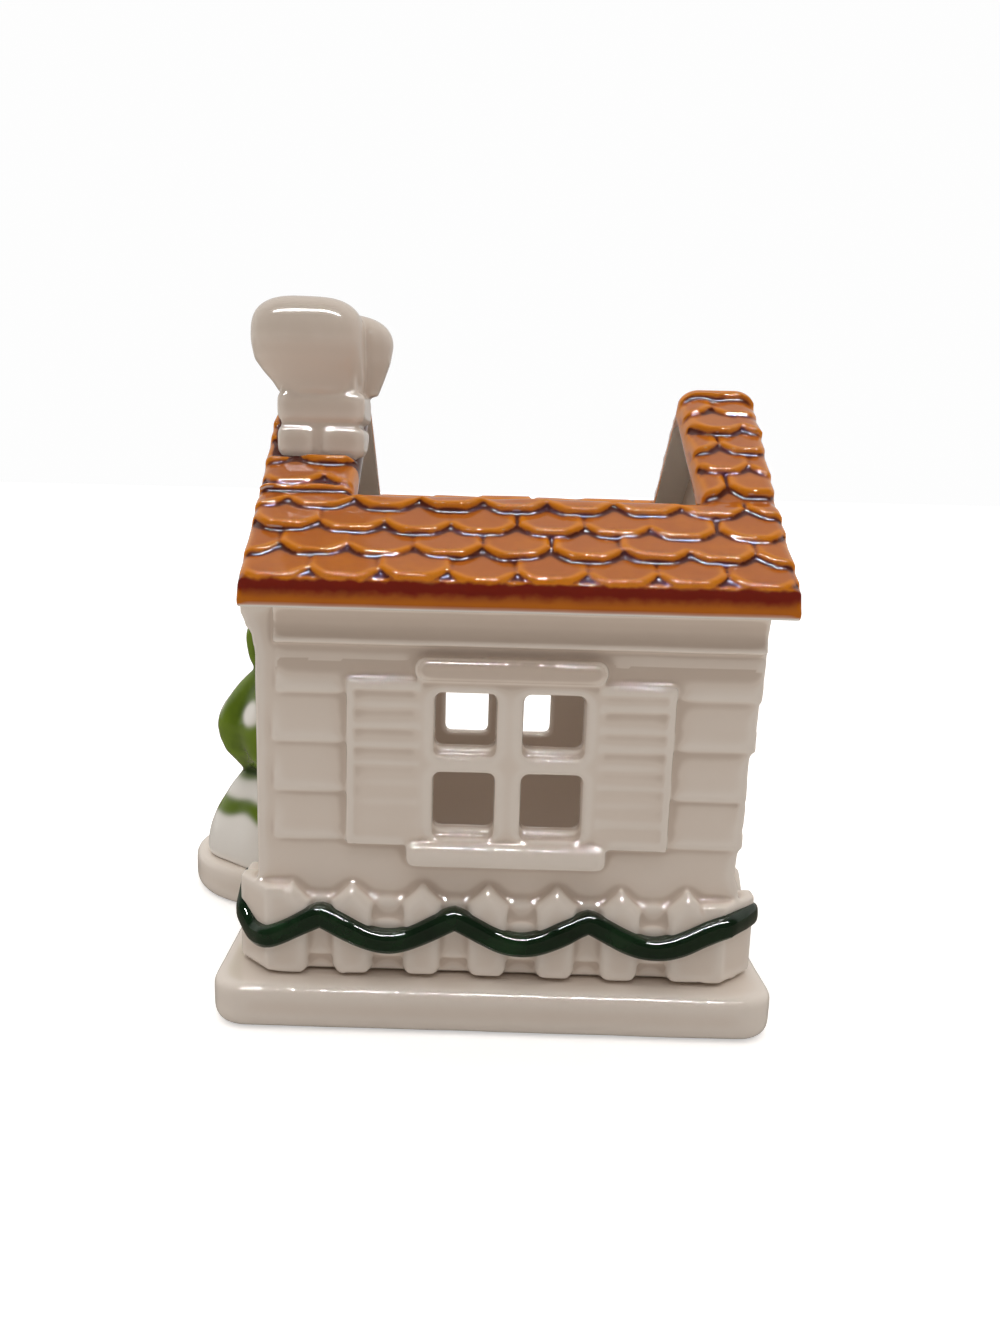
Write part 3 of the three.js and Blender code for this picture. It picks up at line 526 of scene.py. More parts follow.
def prism(axis, outline, low, high, holes=()):
    """A prism along an axis. Its outline lies in [y, z] for x, [x, z] for y and [x, y] for z."""
    loops = [outline, *holes]
    order = {"x": (2, 0, 1), "y": (0, 2, 1), "z": (0, 1, 2)}[axis]
    flat = [point for loop in loops for point in loop]
    caps = tessellate_polygon([[Vector((a, b, 0)) for a, b in loop] for loop in loops])
    points = [tuple((a, b, c)[i] for i in order) for c in (low, high) for a, b in flat]
    faces = [tuple(cap) for cap in caps] + [tuple(i + len(flat) for i in cap) for cap in caps]
    start = 0
    for loop in loops:
        count = len(loop)
        for i in range(count):
            a, b = start + i, start + (i + 1) % count
            faces.append((a, b, b + len(flat), a + len(flat)))
        start += count
    return points, faces


def block(x, y, z):
    return prism("z", rectangle(x, y), *z)


def stack(loops):
    """A closed body through loops of equally many points, given from the bottom up."""
    count = len(loops[0])
    points = [point for loop in loops for point in loop]
    faces = [tuple(range(count)), tuple(range(len(points) - count, len(points)))]
    for start in range(0, len(points) - count, count):
        for i in range(count):
            a, b = start + i, start + (i + 1) % count
            faces.append((a, b, b + count, a + count))
    return points, faces


def ball(x, y, z, radius, rings):
    turns = [math.pi * i / rings for i in range(1, rings)]
    return stack([level(circle(x, y, radius * math.sin(turn), 2 * rings), z - radius * math.cos(turn))
                  for turn in turns])


def placing(*columns):
    """The matrix with the given x, y and z axes and origin."""
    return Matrix([[column[i] for column in columns] for i in range(3)] + [[0, 0, 0, 1]])


def moved(shape, matrix):
    return [tuple(matrix @ Vector(point)) for point in shape[0]], shape[1]


def joined(shapes):
    points, faces = [], []
    for shape_points, shape_faces in shapes:
        faces += [tuple(i + len(points) for i in face) for face in shape_faces]
        points += shape_points
    return points, faces


# From clay to finished pieces

def linked(name, mesh):
    piece = bpy.data.objects.new(name, mesh)
    bpy.context.scene.collection.objects.link(piece)
    return piece


def drawn(name, points, faces, edges=()):
    mesh = bpy.data.meshes.new(name)
    mesh.from_pydata(points, edges, faces)
    return linked(name, mesh)


def discard(piece):
    mesh = piece.data
    bpy.data.objects.remove(piece)
    bpy.data.meshes.remove(mesh)


def harden(piece):
    """Gives a piece the plain mesh that its modifiers make, in place of the raw one."""
    raw = piece.data
    graph = bpy.context.evaluated_depsgraph_get()
    piece.data = bpy.data.meshes.new_from_object(piece.evaluated_get(graph), depsgraph=graph)
    piece.modifiers.clear()
    bpy.data.meshes.remove(raw)


def grown(shape, tree, **values):
    """The shape that a geometry tree makes of the given one."""
    piece = drawn("clay", *shape)
    dress(piece, tree, **values)
    harden(piece)
    points = [tuple(vertex.co) for vertex in piece.data.vertices]
    faces = [tuple(polygon.vertices) for polygon in piece.data.polygons]
    discard(piece)
    return points, faces


def fired(name, shapes, material, voxel, **glaze):
    """Fuses closed shapes into one body under soft glaze, still in millimetres."""
    piece = drawn(name, *joined(shapes))
    clay = piece.modifiers.new("clay", "REMESH")
    clay.mode = "VOXEL"
    clay.voxel_size = voxel
    clay.adaptivity = 0.0
    dress(piece, GLAZE, material=material, **glaze)
    harden(piece)
    return piece


def places(mesh):
    """The places of a mesh's vertices, a row for each."""
    points = numpy.empty(len(mesh.vertices) * 3)
    mesh.vertices.foreach_get("co", points)
    return points.reshape(-1, 3)


def fade(values, start, end):
    """From 0 at start to 1 at end."""
    return numpy.clip((values - start) / (end - start), 0.0, 1.0)


def darken_glaze(mesh, amount):
    """Darkens the glaze's colour by an amount for each vertex, as if the glaze lay deeper; some callers use
    it to paint shade.
    """
    pool = mesh.attributes["pool"].data
    depth = numpy.empty(len(pool))
    pool.foreach_get("value", depth)
    pool.foreach_set("value", depth + amount)


def cut_off(piece, name, planes):
    """A closed copy of what lies behind the given planes, each a point and its outward direction."""
    work = bmesh.new()
    work.from_mesh(piece.data)
    for point, outward in planes:
        everything = work.verts[:] + work.edges[:] + work.faces[:]
        result = bmesh.ops.bisect_plane(work, geom=everything, dist=1e-4, plane_co=point,
                                        plane_no=outward, clear_outer=True)
        rim = [item for item in result["geom_cut"] if isinstance(item, bmesh.types.BMEdge)]
        bmesh.ops.triangle_fill(work, use_beauty=False, use_dissolve=False, edges=rim, normal=outward)
        for edge in rim:
            if edge.is_valid:
                edge.smooth = False
    mesh = bpy.data.meshes.new(name)
    work.to_mesh(mesh)
    work.free()
    mesh.materials.append(piece.data.materials[0])
    return linked(name, mesh)


def finished(piece, body, slot, *nodes, turn_out=True):
    """Brings a piece to metres, its faces turned out, to ride on its body in place of its nodes."""
    if turn_out:
        work = bmesh.new()
        work.from_mesh(piece.data)
        bmesh.ops.recalc_face_normals(work, faces=work.faces[:])
        work.to_mesh(piece.data)
        work.free()
    piece.data.transform(Matrix.Scale(1 / MM, 4))
    piece.data.update()
    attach(piece, body)
    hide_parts(*nodes)


# Shader groups

def shader_group(name, **inputs):
    """A shader group with its named inputs and one result."""
    group = bpy.data.node_groups.new(name, "ShaderNodeTree")
    group.interface.new_socket("Result", in_out="OUTPUT", socket_type=SOCKETS[float])
    return group, named_inputs(group, inputs)


def ramp(value, low, high):
    """From 0 at low to 1 at high, smoothly."""
    return node(value.tree, "ShaderNodeMapRange", {"Value": value, "From Min": low, "From Max": high},
                interpolation_type="SMOOTHSTEP", clamp=True)["Result"]


def object_point(tree):
    return node(tree, "ShaderNodeTexCoord")["Object"]


def pooling_group():
    """How deep the glaze lies: 0 where it ran off an edge, 1 where it filled a hollow."""
    group, given = shader_group("glaze pooling", thin_at=-0.2, deep_at=0.3, clouding=0.1, cloud_scale=90.0)
    pool = node(group, "ShaderNodeAttribute", attribute_name="pool")["Fac"]
    cloud = noise(object_point(group), given["Cloud Scale"], 3.0)["Fac"]
    return closed(ramp(pool + (cloud - 0.5) * given["Clouding"], given["Thin At"], given["Deep At"]))


def skin_group():
    """The wavy skin of a fired glaze, as a height."""
    group, given = shader_group("glaze skin", wave_scale=160.0, wave=0.6, fine_scale=900.0, fine=0.15)
    wave = noise(object_point(group), given["Wave Scale"])["Fac"] * given["Wave"]
    fine = noise(object_point(group), given["Fine Scale"], 2.0)["Fac"] * given["Fine"]
    return closed(wave + fine)


def speck_group():
    """Sparse pinholes and kiln specks, as a mask."""
    group, given = shader_group("kiln specks", scale=120.0, share=0.006, size=0.06)
    cells = node(group, "ShaderNodeTexVoronoi", {"Vector": object_point(group), "Scale": given["Scale"]})
    picked = parts(cells["Color"])[0] < given["Share"]
    return closed(picked * (1.0 - ramp(cells["Distance"], given["Size"] * 0.5, given["Size"])))


POOLING = pooling_group()
SKIN = skin_group()
SPECKS = speck_group()


def mix(share, first, second):
    return node(share.tree, "ShaderNodeMix", {0: share, 6: first, 7: second}, data_type="RGBA")[2]


def use(tree, group, **values):
    return node(tree, "ShaderNodeGroup", titled(values), node_tree=group)[0]


def emptied(owner):
    """The node tree of a material or the world, without its first nodes."""
    owner.use_nodes = True
    owner.node_tree.nodes.clear()
    return owner.node_tree


def glaze_material(name, colours, thin_at, deep_at, clouding, roughness, cloud_scale=90.0, paint=None):
    """A glossy glaze: its colour from thin over middling to deep glaze, painted over, with its skin."""
    material = bpy.data.materials.new(name)
    tree = emptied(material)
    depth = use(tree, POOLING, thin_at=thin_at, deep_at=deep_at, clouding=clouding, cloud_scale=cloud_scale)
    thin, mid, deep = [(*colour, 1.0) for colour in colours]
    colour = mix(ramp(depth, 0.5, 1.0), mix(ramp(depth, 0.0, 0.5), thin, mid), deep)
    if paint:
        colour = paint(tree, colour)
    normal = node(tree, "ShaderNodeBump", {"Height": use(tree, SKIN), "Strength": 0.05, "Distance": 0.001})[0]
    surface = node(tree, "ShaderNodeBsdfPrincipled",
                   {"Base Color": colour, "Roughness": roughness, "Normal": normal})[0]
    node(tree, "ShaderNodeOutputMaterial", {"Surface": surface})
    return material


def specked(tree, colour):
    return mix(use(tree, SPECKS), colour, (0.30, 0.24, 0.19, 1.0))


def eave_and_underside(tree, colour):
    """Dark red where glaze pooled along the eave, and white under the slabs and in the room."""
    _, y, z = parts(object_point(tree))
    facing = parts(node(tree, "ShaderNodeNewGeometry")["Normal"])[2]
    edge = noise(object_point(tree), 260.0, 2.0)["Fac"] * 0.0024 + z
    band = (1.0 - ramp(edge, *BAND_TOP)) * (ramp(edge, *BAND_FOOT) * 0.62 + 0.38)
    under = sums("MAXIMUM", z < UNDER_Z, abs(y) < UNDER_Y) * (1.0 - ramp(facing, *LOOKS_DOWN))
    bare = sums("MAXIMUM", under, (abs(y) < ROOM_Y) * (z < ROOM_Z))
    return mix(bare, mix(band, colour, (0.20, 0.011, 0.002, 1.0)), (0.80, 0.765, 0.72, 1.0))


def snowed(tree, colour):
    """White snow left bare on the mounds and in patches."""
    snow = node(tree, "ShaderNodeAttribute", attribute_name="snow")["Fac"]
    return mix(snow, colour, (0.90, 0.88, 0.84, 1.0))


WHITE = glaze_material(
    "white glaze", [(0.86, 0.79, 0.72), (0.80, 0.71, 0.63), (0.66, 0.56, 0.48)],
    thin_at=-0.25, deep_at=0.35, clouding=0.08, roughness=0.03, paint=specked)
SNOW = glaze_material(
    "snow glaze", [(0.88, 0.83, 0.77), (0.82, 0.745, 0.67), (0.70, 0.61, 0.53)],
    thin_at=-0.3, deep_at=0.4, clouding=0.1, roughness=0.13, paint=specked)
GARLAND = glaze_material(
    "garland glaze", [(0.012, 0.045, 0.016), (0.006, 0.022, 0.009), (0.002, 0.008, 0.004)],
    thin_at=-0.3, deep_at=0.3, clouding=0.9, cloud_scale=70.0, roughness=0.03)
DOOR = glaze_material(
    "door glaze", [(0.42, 0.16, 0.05), (0.25, 0.08, 0.022), (0.08, 0.022, 0.008)],
    thin_at=-0.2, deep_at=0.25, clouding=0.15, roughness=0.07)
AMBER = glaze_material(
    "amber glaze", [(0.74, 0.24, 0.012), (0.50, 0.14, 0.022), (0.10, 0.020, 0.010)],
    thin_at=-0.14, deep_at=0.18, clouding=0.10, cloud_scale=110.0, roughness=0.025, paint=eave_and_underside)
TREE = glaze_material(
    "tree glaze", [(0.16, 0.25, 0.022), (0.105, 0.170, 0.014), (0.03, 0.06, 0.008)],
    thin_at=-0.35, deep_at=0.4, clouding=0.35, cloud_scale=60.0, roughness=0.04, paint=snowed)


# Base plate with its tongue, the step under the shell and the ring round the candle

def rounded_slab(outline_at, low, high, edge_low, edge_high):
    """A slab with rounded edges. outline_at(inset) is its outline, drawn in by the inset."""
    levels = [(edge_low * down, low + edge_low * side) for side, down in quarter(5)]
    levels += [(edge_high * side, high - edge_high * down) for side, down in quarter(5)]
    return stack([level(outline_at(inset), z) for inset, z in levels])


def base_shapes():
    def plate(inset):
        return rounded_rectangle((-PLATE_X[1], PLATE_X[1]), (PLATE_Y[0], -PLATE_Y[0]),
                                 PLATE_CORNER - inset, 8, inset)

    def tongue(inset):
        return circle(TREE_X, TREE_Y, TONGUE_RADIUS - inset, 72)

    def step(inset):
        return rounded_rectangle(STEP_X, STEP_Y, STEP_CORNER - inset, 6, inset)

    def ring(inset):
        return circle(middle(RING_X), middle(RING_Y), half_of(RING_X) - inset, 72)

    return [
        rounded_slab(plate, 0.0, PLATE_Z[1], 3.2, 1.9),
        rounded_slab(tongue, 0.0, PLATE_Z[1], 3.2, 1.9),
        rounded_slab(step, PLATE_Z[1] - 1, STEP_Z[1], 0.1, 1.2),
        prism("z", ring(0.0), STEP_Z[1] - 1, RING_Z[1], [ring(RING_WALL)]),
    ]


# Walls

WALL_FRAMES = {
    "front": ((1, 0, 0), (0, 1, 0), (HOUSE_MIDDLE, CORE_FRONT, 0)),
    "back": ((-1, 0, 0), (0, -1, 0), (HOUSE_MIDDLE, -CORE_FRONT, 0)),
    "right": ((0, 1, 0), (-1, 0, 0), (CORE_RIGHT, 0, 0)),
    "left": ((0, -1, 0), (1, 0, 0), (CORE_LEFT, 0, 0)),
}


def on_wall(side, shapes):
    along, inward, origin = WALL_FRAMES[side]
    return [moved(shape, placing(along, inward, (0, 0, 1), origin)) for shape in shapes]


def pane_holes(lower=0.0, wider=0.0):
    """Outlines of the four panes, with their feet lowered and their sides widened."""
    return [
        rounded_rectangle((x - wider, x + PANE_WIDTH + wider), (z - lower, z + height + wider), PANE_CORNER)
        for x in (-MULLION / 2 - PANE_WIDTH, MULLION / 2)
        for z, height in ((PANE_SILL, PANE_HEIGHT), (PANE_SILL + PANE_HEIGHT + TRANSOM, UPPER_PANE_HEIGHT))
    ]


def plank_rows(low_x, high_x, seed):
    """Lapped planks, each a wedge that stands proud at its foot."""
    profile = [(SUNK, -0.5), (-LAP, 0.5), (-LAP, 1.2), (0.0, PLANK_HEIGHT), (SUNK, PLANK_HEIGHT)]
    return grown(prism("x", profile, low_x, high_x), ROW, count=4, first=(0.0, 0.0, PLANK_START),
                 pitch=(0.0, 0.0, PLANK_HEIGHT), shift=(0.8, 0.12, 0.2), turn=(0.0, 0.004, 0.0),
                 swell=(0.004, 0.1, 0.0), seed=seed)


def bar(half, z, proud, corner, edge):
    """A rounded bar on the wall, such as a lintel or a sill."""
    levels = [(0.0, SUNK)] + [(edge * side, edge * down - proud) for side, down in quarter(4)]
    return stack([upright(rounded_rectangle((-half, half), z, corner, 4, inset), y) for inset, y in levels])


def shutter_shapes(side, seed):
    """A louvred shutter that meets the window's frame. Side 1 is right of the window, -1 left of it."""
    low, high, face = SHUTTER_LOW, SHUTTER_HIGH, -SHUTTER_PROUD
    pitch = (high - low - 3.0) / SLATS
    outer = SHUTTER_INNER + SHUTTER_WIDTH
    left, right = sorted((side * (FRAME_HALF - 1.0), side * outer))
    stile = sorted((side * (outer - SHUTTER_STILE), side * outer))
    board = [(SUNK, low), (face + 0.2, low), (face + 0.9, high - 1.0), (face + 0.9, high), (SUNK, high)]
    rail = [(SUNK, high - 2.2), (face, high - 2.2), (face - 0.2, high - 0.6), (face + 0.4, high),
            (SUNK, high)]
    slat = [(0.4, 0.0), (face + 0.15, 0.4), (face + 0.15, 1.0), (face + 0.75, pitch - 0.1), (0.4, pitch)]
    slats = grown(prism("x", slat, left + 0.2, right - 0.2), ROW, count=SLATS, first=(0.0, 0.0, low + 0.8),
                  pitch=(0.0, 0.0, pitch), shift=(0.0, 0.12, 0.15), turn=(0.01, 0.012, 0.0),
                  swell=(0.0, 0.05, 0.0), seed=seed)
    return [prism("x", board, left, right), prism("x", rail, left, right), slats,
            block(stile, (face - 0.1, SUNK), (low, high))]


def window_shapes(seed):
    """Window with its frame, lintel, sill and shutters, all proud of the core's face."""
    outline = rounded_rectangle((-FRAME_HALF, FRAME_HALF), (FRAME_Z[0] - 1.0, FRAME_Z[1] + 1.0), 1.8)
    return [
        prism("y", outline, FRAME_Y[0] - CORE_FRONT, SUNK, pane_holes(SILL_SLOPE, 0.2)),
        bar(LINTEL_HALF, LINTEL_Z, CORE_FRONT - LINTEL_Y[0], 2.8, 2.2),
        bar(SILL_HALF, SILL_Z, CORE_FRONT - SILL_Y[0], 1.8, 1.9),
        *shutter_shapes(1, seed),
        *shutter_shapes(-1, seed + 3),
    ]


def window_wall(low_x, high_x, seed, window_seed):
    """Planks left and right of a window, and the window."""
    return [plank_rows(low_x, -FRAME_HALF + 1.5, seed), plank_rows(FRAME_HALF - 1.5, high_x, seed + 7),
            *window_shapes(window_seed)]


def long_wall(side, seed):
    left, right = CORE_LEFT - HOUSE_MIDDLE, CORE_RIGHT + 0.2 - HOUSE_MIDDLE
    if side == "back":
        left, right = -right, -left
    core = prism("y", rectangle((left, right), (WALL_Z[0], EAVE)), 0.0, WALL, pane_holes())
    right += LAP - 0.2 if side == "front" else 0.0
    left -= LAP - 0.2 if side == "back" else 0.0
    face, low = CORNICE_Y[0] - CORE_FRONT, CORNICE_Z[0]
    cornice = prism("x", [
        (SUNK, low - 0.6), (face + 0.4, low), (face + 0.2, low + 0.9), (face + 1.0, low + 1.8),
        (face + 1.3, low + 4.2), (face + 0.8, low + 6.6), (face, EAVE - 0.8), (face, EAVE), (SUNK, EAVE),
    ], left, right)
    return on_wall(side, [core, cornice, *window_wall(left, right, seed, seed + 20)])


def underside(y):
    return RIDGE - SLOPE * abs(y) - ROOF_THICKNESS / COSINE


def gable_core(holes=()):
    """A gable's core, up into the slab."""
    low, shoulder, peak = WALL_Z[0], underside(CORE_HALF) + 1.2, underside(0.0) + 1.2
    outline = [(-CORE_HALF, low), (CORE_HALF, low), (CORE_HALF, shoulder), (0.0, peak),
               (-CORE_HALF, shoulder)]
    return prism("y", outline, 0.0, WALL, holes)


def gable_plank(row, low_x=-CORE_HALF, high_x=CORE_HALF):
    """One plank of a gable, with its ends cut along the roof, most of the way into the slab."""
    low = PLANK_START + row * PLANK_HEIGHT
    points, faces = prism("x", [(SUNK, low), (-LAP, low + 0.3), (-LAP + 0.1, low + 1.2),
                                (0.0, low + PLANK_HEIGHT), (SUNK, low + PLANK_HEIGHT)], low_x, high_x)
    reaches = [(RIDGE - z) / SLOPE - INTO_SLAB for _, _, z in points]
    return [(max(-reach, min(reach, x)), y, z) for reach, (x, y, z) in zip(reaches, points)], faces


def gable_right():
    planks = [gable_plank(row) for row in range(4, 8)]
    return on_wall("right", [gable_core(pane_holes()), *planks, *window_wall(-CORE_HALF, CORE_HALF, 61, 91)])


def door_outline(margin, low):
    half = half_of(DOOR_Y) + margin
    centre = -middle(DOOR_Y)
    shoulder = DOOR_Z[1] - half + margin
    arch = [(centre + half * math.cos(math.radians(a)), shoulder + half * math.sin(math.radians(a)))
            for a in range(0, 181, 10)]
    return [(centre - half, low), (centre + half, low), *arch]


def gable_left():
    planks = []
    for row in range(8):
        if PLANK_START + row * PLANK_HEIGHT < SURROUND_Z[1] - 2:
            planks.append(gable_plank(row, high_x=1 - SURROUND_Y[1]))
            planks.append(gable_plank(row, low_x=-SURROUND_Y[0] - 1))
        else:
            planks.append(gable_plank(row))
    surround = prism("y", door_outline(4.0, DOOR_Z[0] - 2), -3.4, SUNK,
                     [door_outline(-0.2, DOOR_Z[0] - 1.9)])
    face = BOARD_X[0] + 3.0 - CORE_LEFT
    low, width = BOARD_Z[0] - 8, BOARD_Y[1] - BOARD_Y[0]
    board = [(SUNK, low), (face, low), (face, EAVE - 12.0), (face - 0.6, EAVE - 9.0),
             (face - 0.9, EAVE - 7.0), (face - 2.2, EAVE - 5.6), (face - 2.6, EAVE - 3.8),
             (face - 3.4, EAVE - 2.4), (face - 3.4, EAVE), (SUNK, EAVE)]
    boards = [prism("x", board, left, left + width)
              for left in (-CORE_HALF - LAP + 1.0, CORE_HALF - width + LAP - 1.0)]
    return on_wall("left", [gable_core(), surround, *planks, *boards])


# Fence: a low wall with rails, posts at the chamfered corners and pickets

def fence_plan(inset):
    x, y = FENCE_HALF_X - inset, FENCE_HALF_Y - inset
    corner = FENCE_CORNER - inset * (2 - math.sqrt(2))
    return [(corner - x, -y), (x - corner, -y), (x, corner - y), (x, y - corner),
            (x - corner, y), (corner - x, y), (-x, y - corner), (-x, corner - y)]


def picket_shape():
    """One picket, x across it and y inward from its face, bevelled all round its raked point."""
    loops = []
    for y, draw, rake in ((0.0, 0.9, PICKET_RAKE), (1.2, 0.0, 0.4), (2.5, 0.0, 0.0), (3.6, 0.0, 0.0)):
        wide, shoulder = PICKET_WIDTH / 2 - draw, PICKET_SHOULDER - rake
        loops.append(upright([
            (-wide + 1.0, FENCE_FOOT), (wide - 1.0, FENCE_FOOT), (wide, FENCE_FOOT + 1.6), (wide, shoulder),
            (0.0, PICKET_TIP - rake), (-wide, shoulder), (-wide, FENCE_FOOT + 1.6)], y))
    return stack(loops)


def picket_run(count, seed, degrees, x, y):
    first = (-(count - 1) / 2 * PICKET_PITCH, 0.0, 0.0)
    run = grown(picket_shape(), ROW, count=count, first=first, pitch=(PICKET_PITCH, 0.0, 0.0),
                shift=(0.25, 0.12, 0.15), turn=(0.0, 0.02, 0.02), swell=(0.04, 0.05, 0.006), seed=seed)
    return moved(run, Matrix.Translation((x, y, 0)) @ Matrix.Rotation(math.radians(degrees), 4, "Z"))


def fence_shapes():
    inside = [rectangle(*FENCE_INSIDE)]
    ledge = [prism("z", fence_plan(PICKET_PROUD + inset), FENCE_FOOT, FENCE_LEDGE + rise, inside)
             for inset, rise in ((0.0, 0.0), (0.9, 0.7), (2.2, 1.3), (4.2, 1.9))]
    rail = prism("z", fence_plan(PICKET_PROUD - 1.2), *RAIL_Z, inside)
    pickets = [
        picket_run(7, 3, 0, PICKET_SHIFT, -FENCE_HALF_Y),
        picket_run(7, 13, 180, PICKET_SHIFT, FENCE_HALF_Y),
        picket_run(5, 23, 90, FENCE_HALF_X, 0),
        picket_run(2, 33, -90, -FENCE_HALF_X, GATE_Y[1] - PICKET_WIDTH / 2 - PICKET_PITCH / 2),
    ]
    x, y = FENCE_HALF_X, FENCE_HALF_Y
    post = [(x - POST_REACH, y), (x - FENCE_CORNER, y), (x, y - FENCE_CORNER), (x, y - POST_REACH),
            (x - 8, y - POST_REACH), (x - POST_REACH, y - 8)]
    posts = [prism("z", [(a * sx, b * sy) for a, b in post], FENCE_FOOT, PICKET_TIP - short)
             for sx, sy, short in ((1, 1, 2.6), (1, -1, 2.6), (-1, 1, 0.8), (-1, -1, 0.8))]
    return [*ledge, rail, *pickets, *posts]


# Garland

def fence_point(distance):
    """The point on the fence's outline at a distance from the front's middle, positive to the right."""
    x, y, corner = ROPE_X, ROPE_Y, ROPE_CORNER
    route = [(0.0, -y), (x - corner, -y), (x, corner - y), (x, y - corner), (x - corner, y), (0.0, y)]
    far = abs(distance)
    for (ax, ay), (bx, by) in zip(route, route[1:]):
        length = math.hypot(bx - ax, by - ay)
        if far <= length:
            share = far / length
            return math.copysign(1, distance) * (ax + (bx - ax) * share), ay + (by - ay) * share
        far -= length
    return 0.0, y


def garland_points():
    half_front, side = ROPE_X - ROPE_CORNER, 2 * (ROPE_Y - ROPE_CORNER)
    start = -(half_front + ROPE_SLANT + (GATE_Y[1] + ROPE_Y - ROPE_CORNER))
    end = half_front + ROPE_SLANT + side + ROPE_SLANT + half_front - ROPE_END
    first_peak = PICKET_SHIFT - PICKET_PITCH / 2
    last_peak = first_peak + 4 * PICKET_PITCH
    steps = 420
    points = []
    for i in range(steps + 1):
        distance = start + (end - start) * i / steps
        x, y = fence_point(distance)
        held = max(last_peak, distance - ROPE_SLANT) if distance > last_peak else distance
        turn = math.pi * (held - first_peak) / PICKET_PITCH
        peaked = 1 - 2 * abs(math.sin(turn / 2)) ** 1.05
        swag = ROPE_SWING * (0.25 * math.cos(turn) + 0.75 * peaked)
        past = (-distance - half_front - 0.5 * ROPE_SLANT) / ROPE_SLANT
        climb = ROPE_CLIMB * min(1.0, max(0.0, past))
        sink = ROPE_SINK * min(1.0, max(0.0, (ROPE_Y - abs(y)) / ROPE_CORNER))
        x -= math.copysign(sink, x) if abs(x) > half_front else 0.0
        points.append((x, y, ROPE_MIDDLE + swag + climb))
    return points


# Roof

def roof_slab(low_x, high_x):
    inner = -WALL_Y[1]
    half = [(inner, underside(inner)), (inner, EAVE), (EAVE_HALF - 1.0, EAVE), (EAVE_HALF, EAVE + 2.0),
            (EAVE_HALF, FASCIA_TOP)]
    mirrored = [(-y, z) for y, z in reversed(half)]
    return prism("x", [(0.0, underside(0.0)), *half, (0.0, RIDGE), *mirrored], low_x, high_x)


def eave_slab(side):
    inner = -WALL_Y[1]
    profile = [(inner, EAVE), (inner, underside(inner)),
               (OPENING_Y - ROOF_THICKNESS * SINE, OPENING_HEIGHT - ROOF_THICKNESS * COSINE),
               (OPENING_Y, OPENING_HEIGHT), (EAVE_HALF, FASCIA_TOP), (EAVE_HALF, EAVE + 2.0),
               (EAVE_HALF - 1.0, EAVE)]
    return prism("x", [(side * y, z) for y, z in profile], OPENING_X[0] - 1, OPENING_X[1] + 1)


def tile_shape(pitch):
    """One flat-footed tile: x across, y up the slope from its lip, z out of the slab."""
    half = (pitch - TILE_GAP) / 2
    length = TILE_ROW + TILE_COVER
    bowl = [(half * i / 12, TILE_BOWL * max(0.0, (abs(i) / 12 - 0.42) / 0.58) ** 1.5) for i in range(-12, 13)]
    outline = [*bowl, (half * 0.97, length), (-half * 0.97, length)]
    loops = [level(outline, -1.2)]
    for draw, rise in ((0.0, 0.72), (0.35, 1.0)):
        loops.append([(x * (1 - draw / half), y + draw * max(0.0, 1 - y / TILE_BOWL),
                       max(0.05, TILE_LIP * (1 - y / length)) * rise) for x, y in outline])
    return stack(loops)


def slope_matrix(side):
    """From the slope's own plane to its place: side 1 is the front slope, -1 the back."""
    along = Vector((side, 0, 0))
    up = Vector((0, side * COSINE, SINE))
    return placing(along, up, along.cross(up), (0, -side * EAVE_HALF, FASCIA_TOP))


def tile_fields(side, seed):
    """The tiles along the eave and up both strips beside the opening, on the front (1) or back (-1)."""
    left, right = ROOF_LEFT_X[0] + TILE_EDGE, ROOF_RIGHT_X[1] - TILE_EDGE
    open_left, open_right = OPENING_X[0] - TILE_EDGE, OPENING_X[1] + TILE_EDGE
    strip = STRIP_START - TILE_EDGE
    fields = []
    for x, y, pitch, centre in (
            ((left, right), (-TILE_OVERHANG, strip), TILE_PITCH, TILE_MIDDLE),
            ((left, open_left), (strip, SLOPE_LENGTH - 1.6), TILE_PITCH, TILE_MIDDLE),
            ((open_right, right), (strip, SLOPE_LENGTH - 1.6), STRIP_PITCH, STRIP_MIDDLE)):
        first = centre - 8 * pitch
        if side < 0:
            x = (-x[1], -x[0])
            first = -centre - 4 * pitch
        fields.append(grown(tile_shape(pitch), TILES, low=(x[0], y[0], 0.0), high=(x[1], y[1], 0.0),
                            first=(first, TILE_FIRST_ROW, 0.0), pitch=pitch, row=TILE_ROW,
                            columns=12, rows=10, seed=seed))
    tilt = [(0.0, -1.0), (0.0, TILT_RISE), (TILT_DEPTH, 0.0), (TILT_DEPTH, -1.0)]
    fields.append(prism("x", tilt, *sorted((side * left, side * right))))
    return [moved(field, slope_matrix(side)) for field in fields]


def outside(values, extent):
    """How far values lie outside an extent."""
    return numpy.maximum(numpy.maximum(extent[0] - values, values - extent[1]), 0.0)


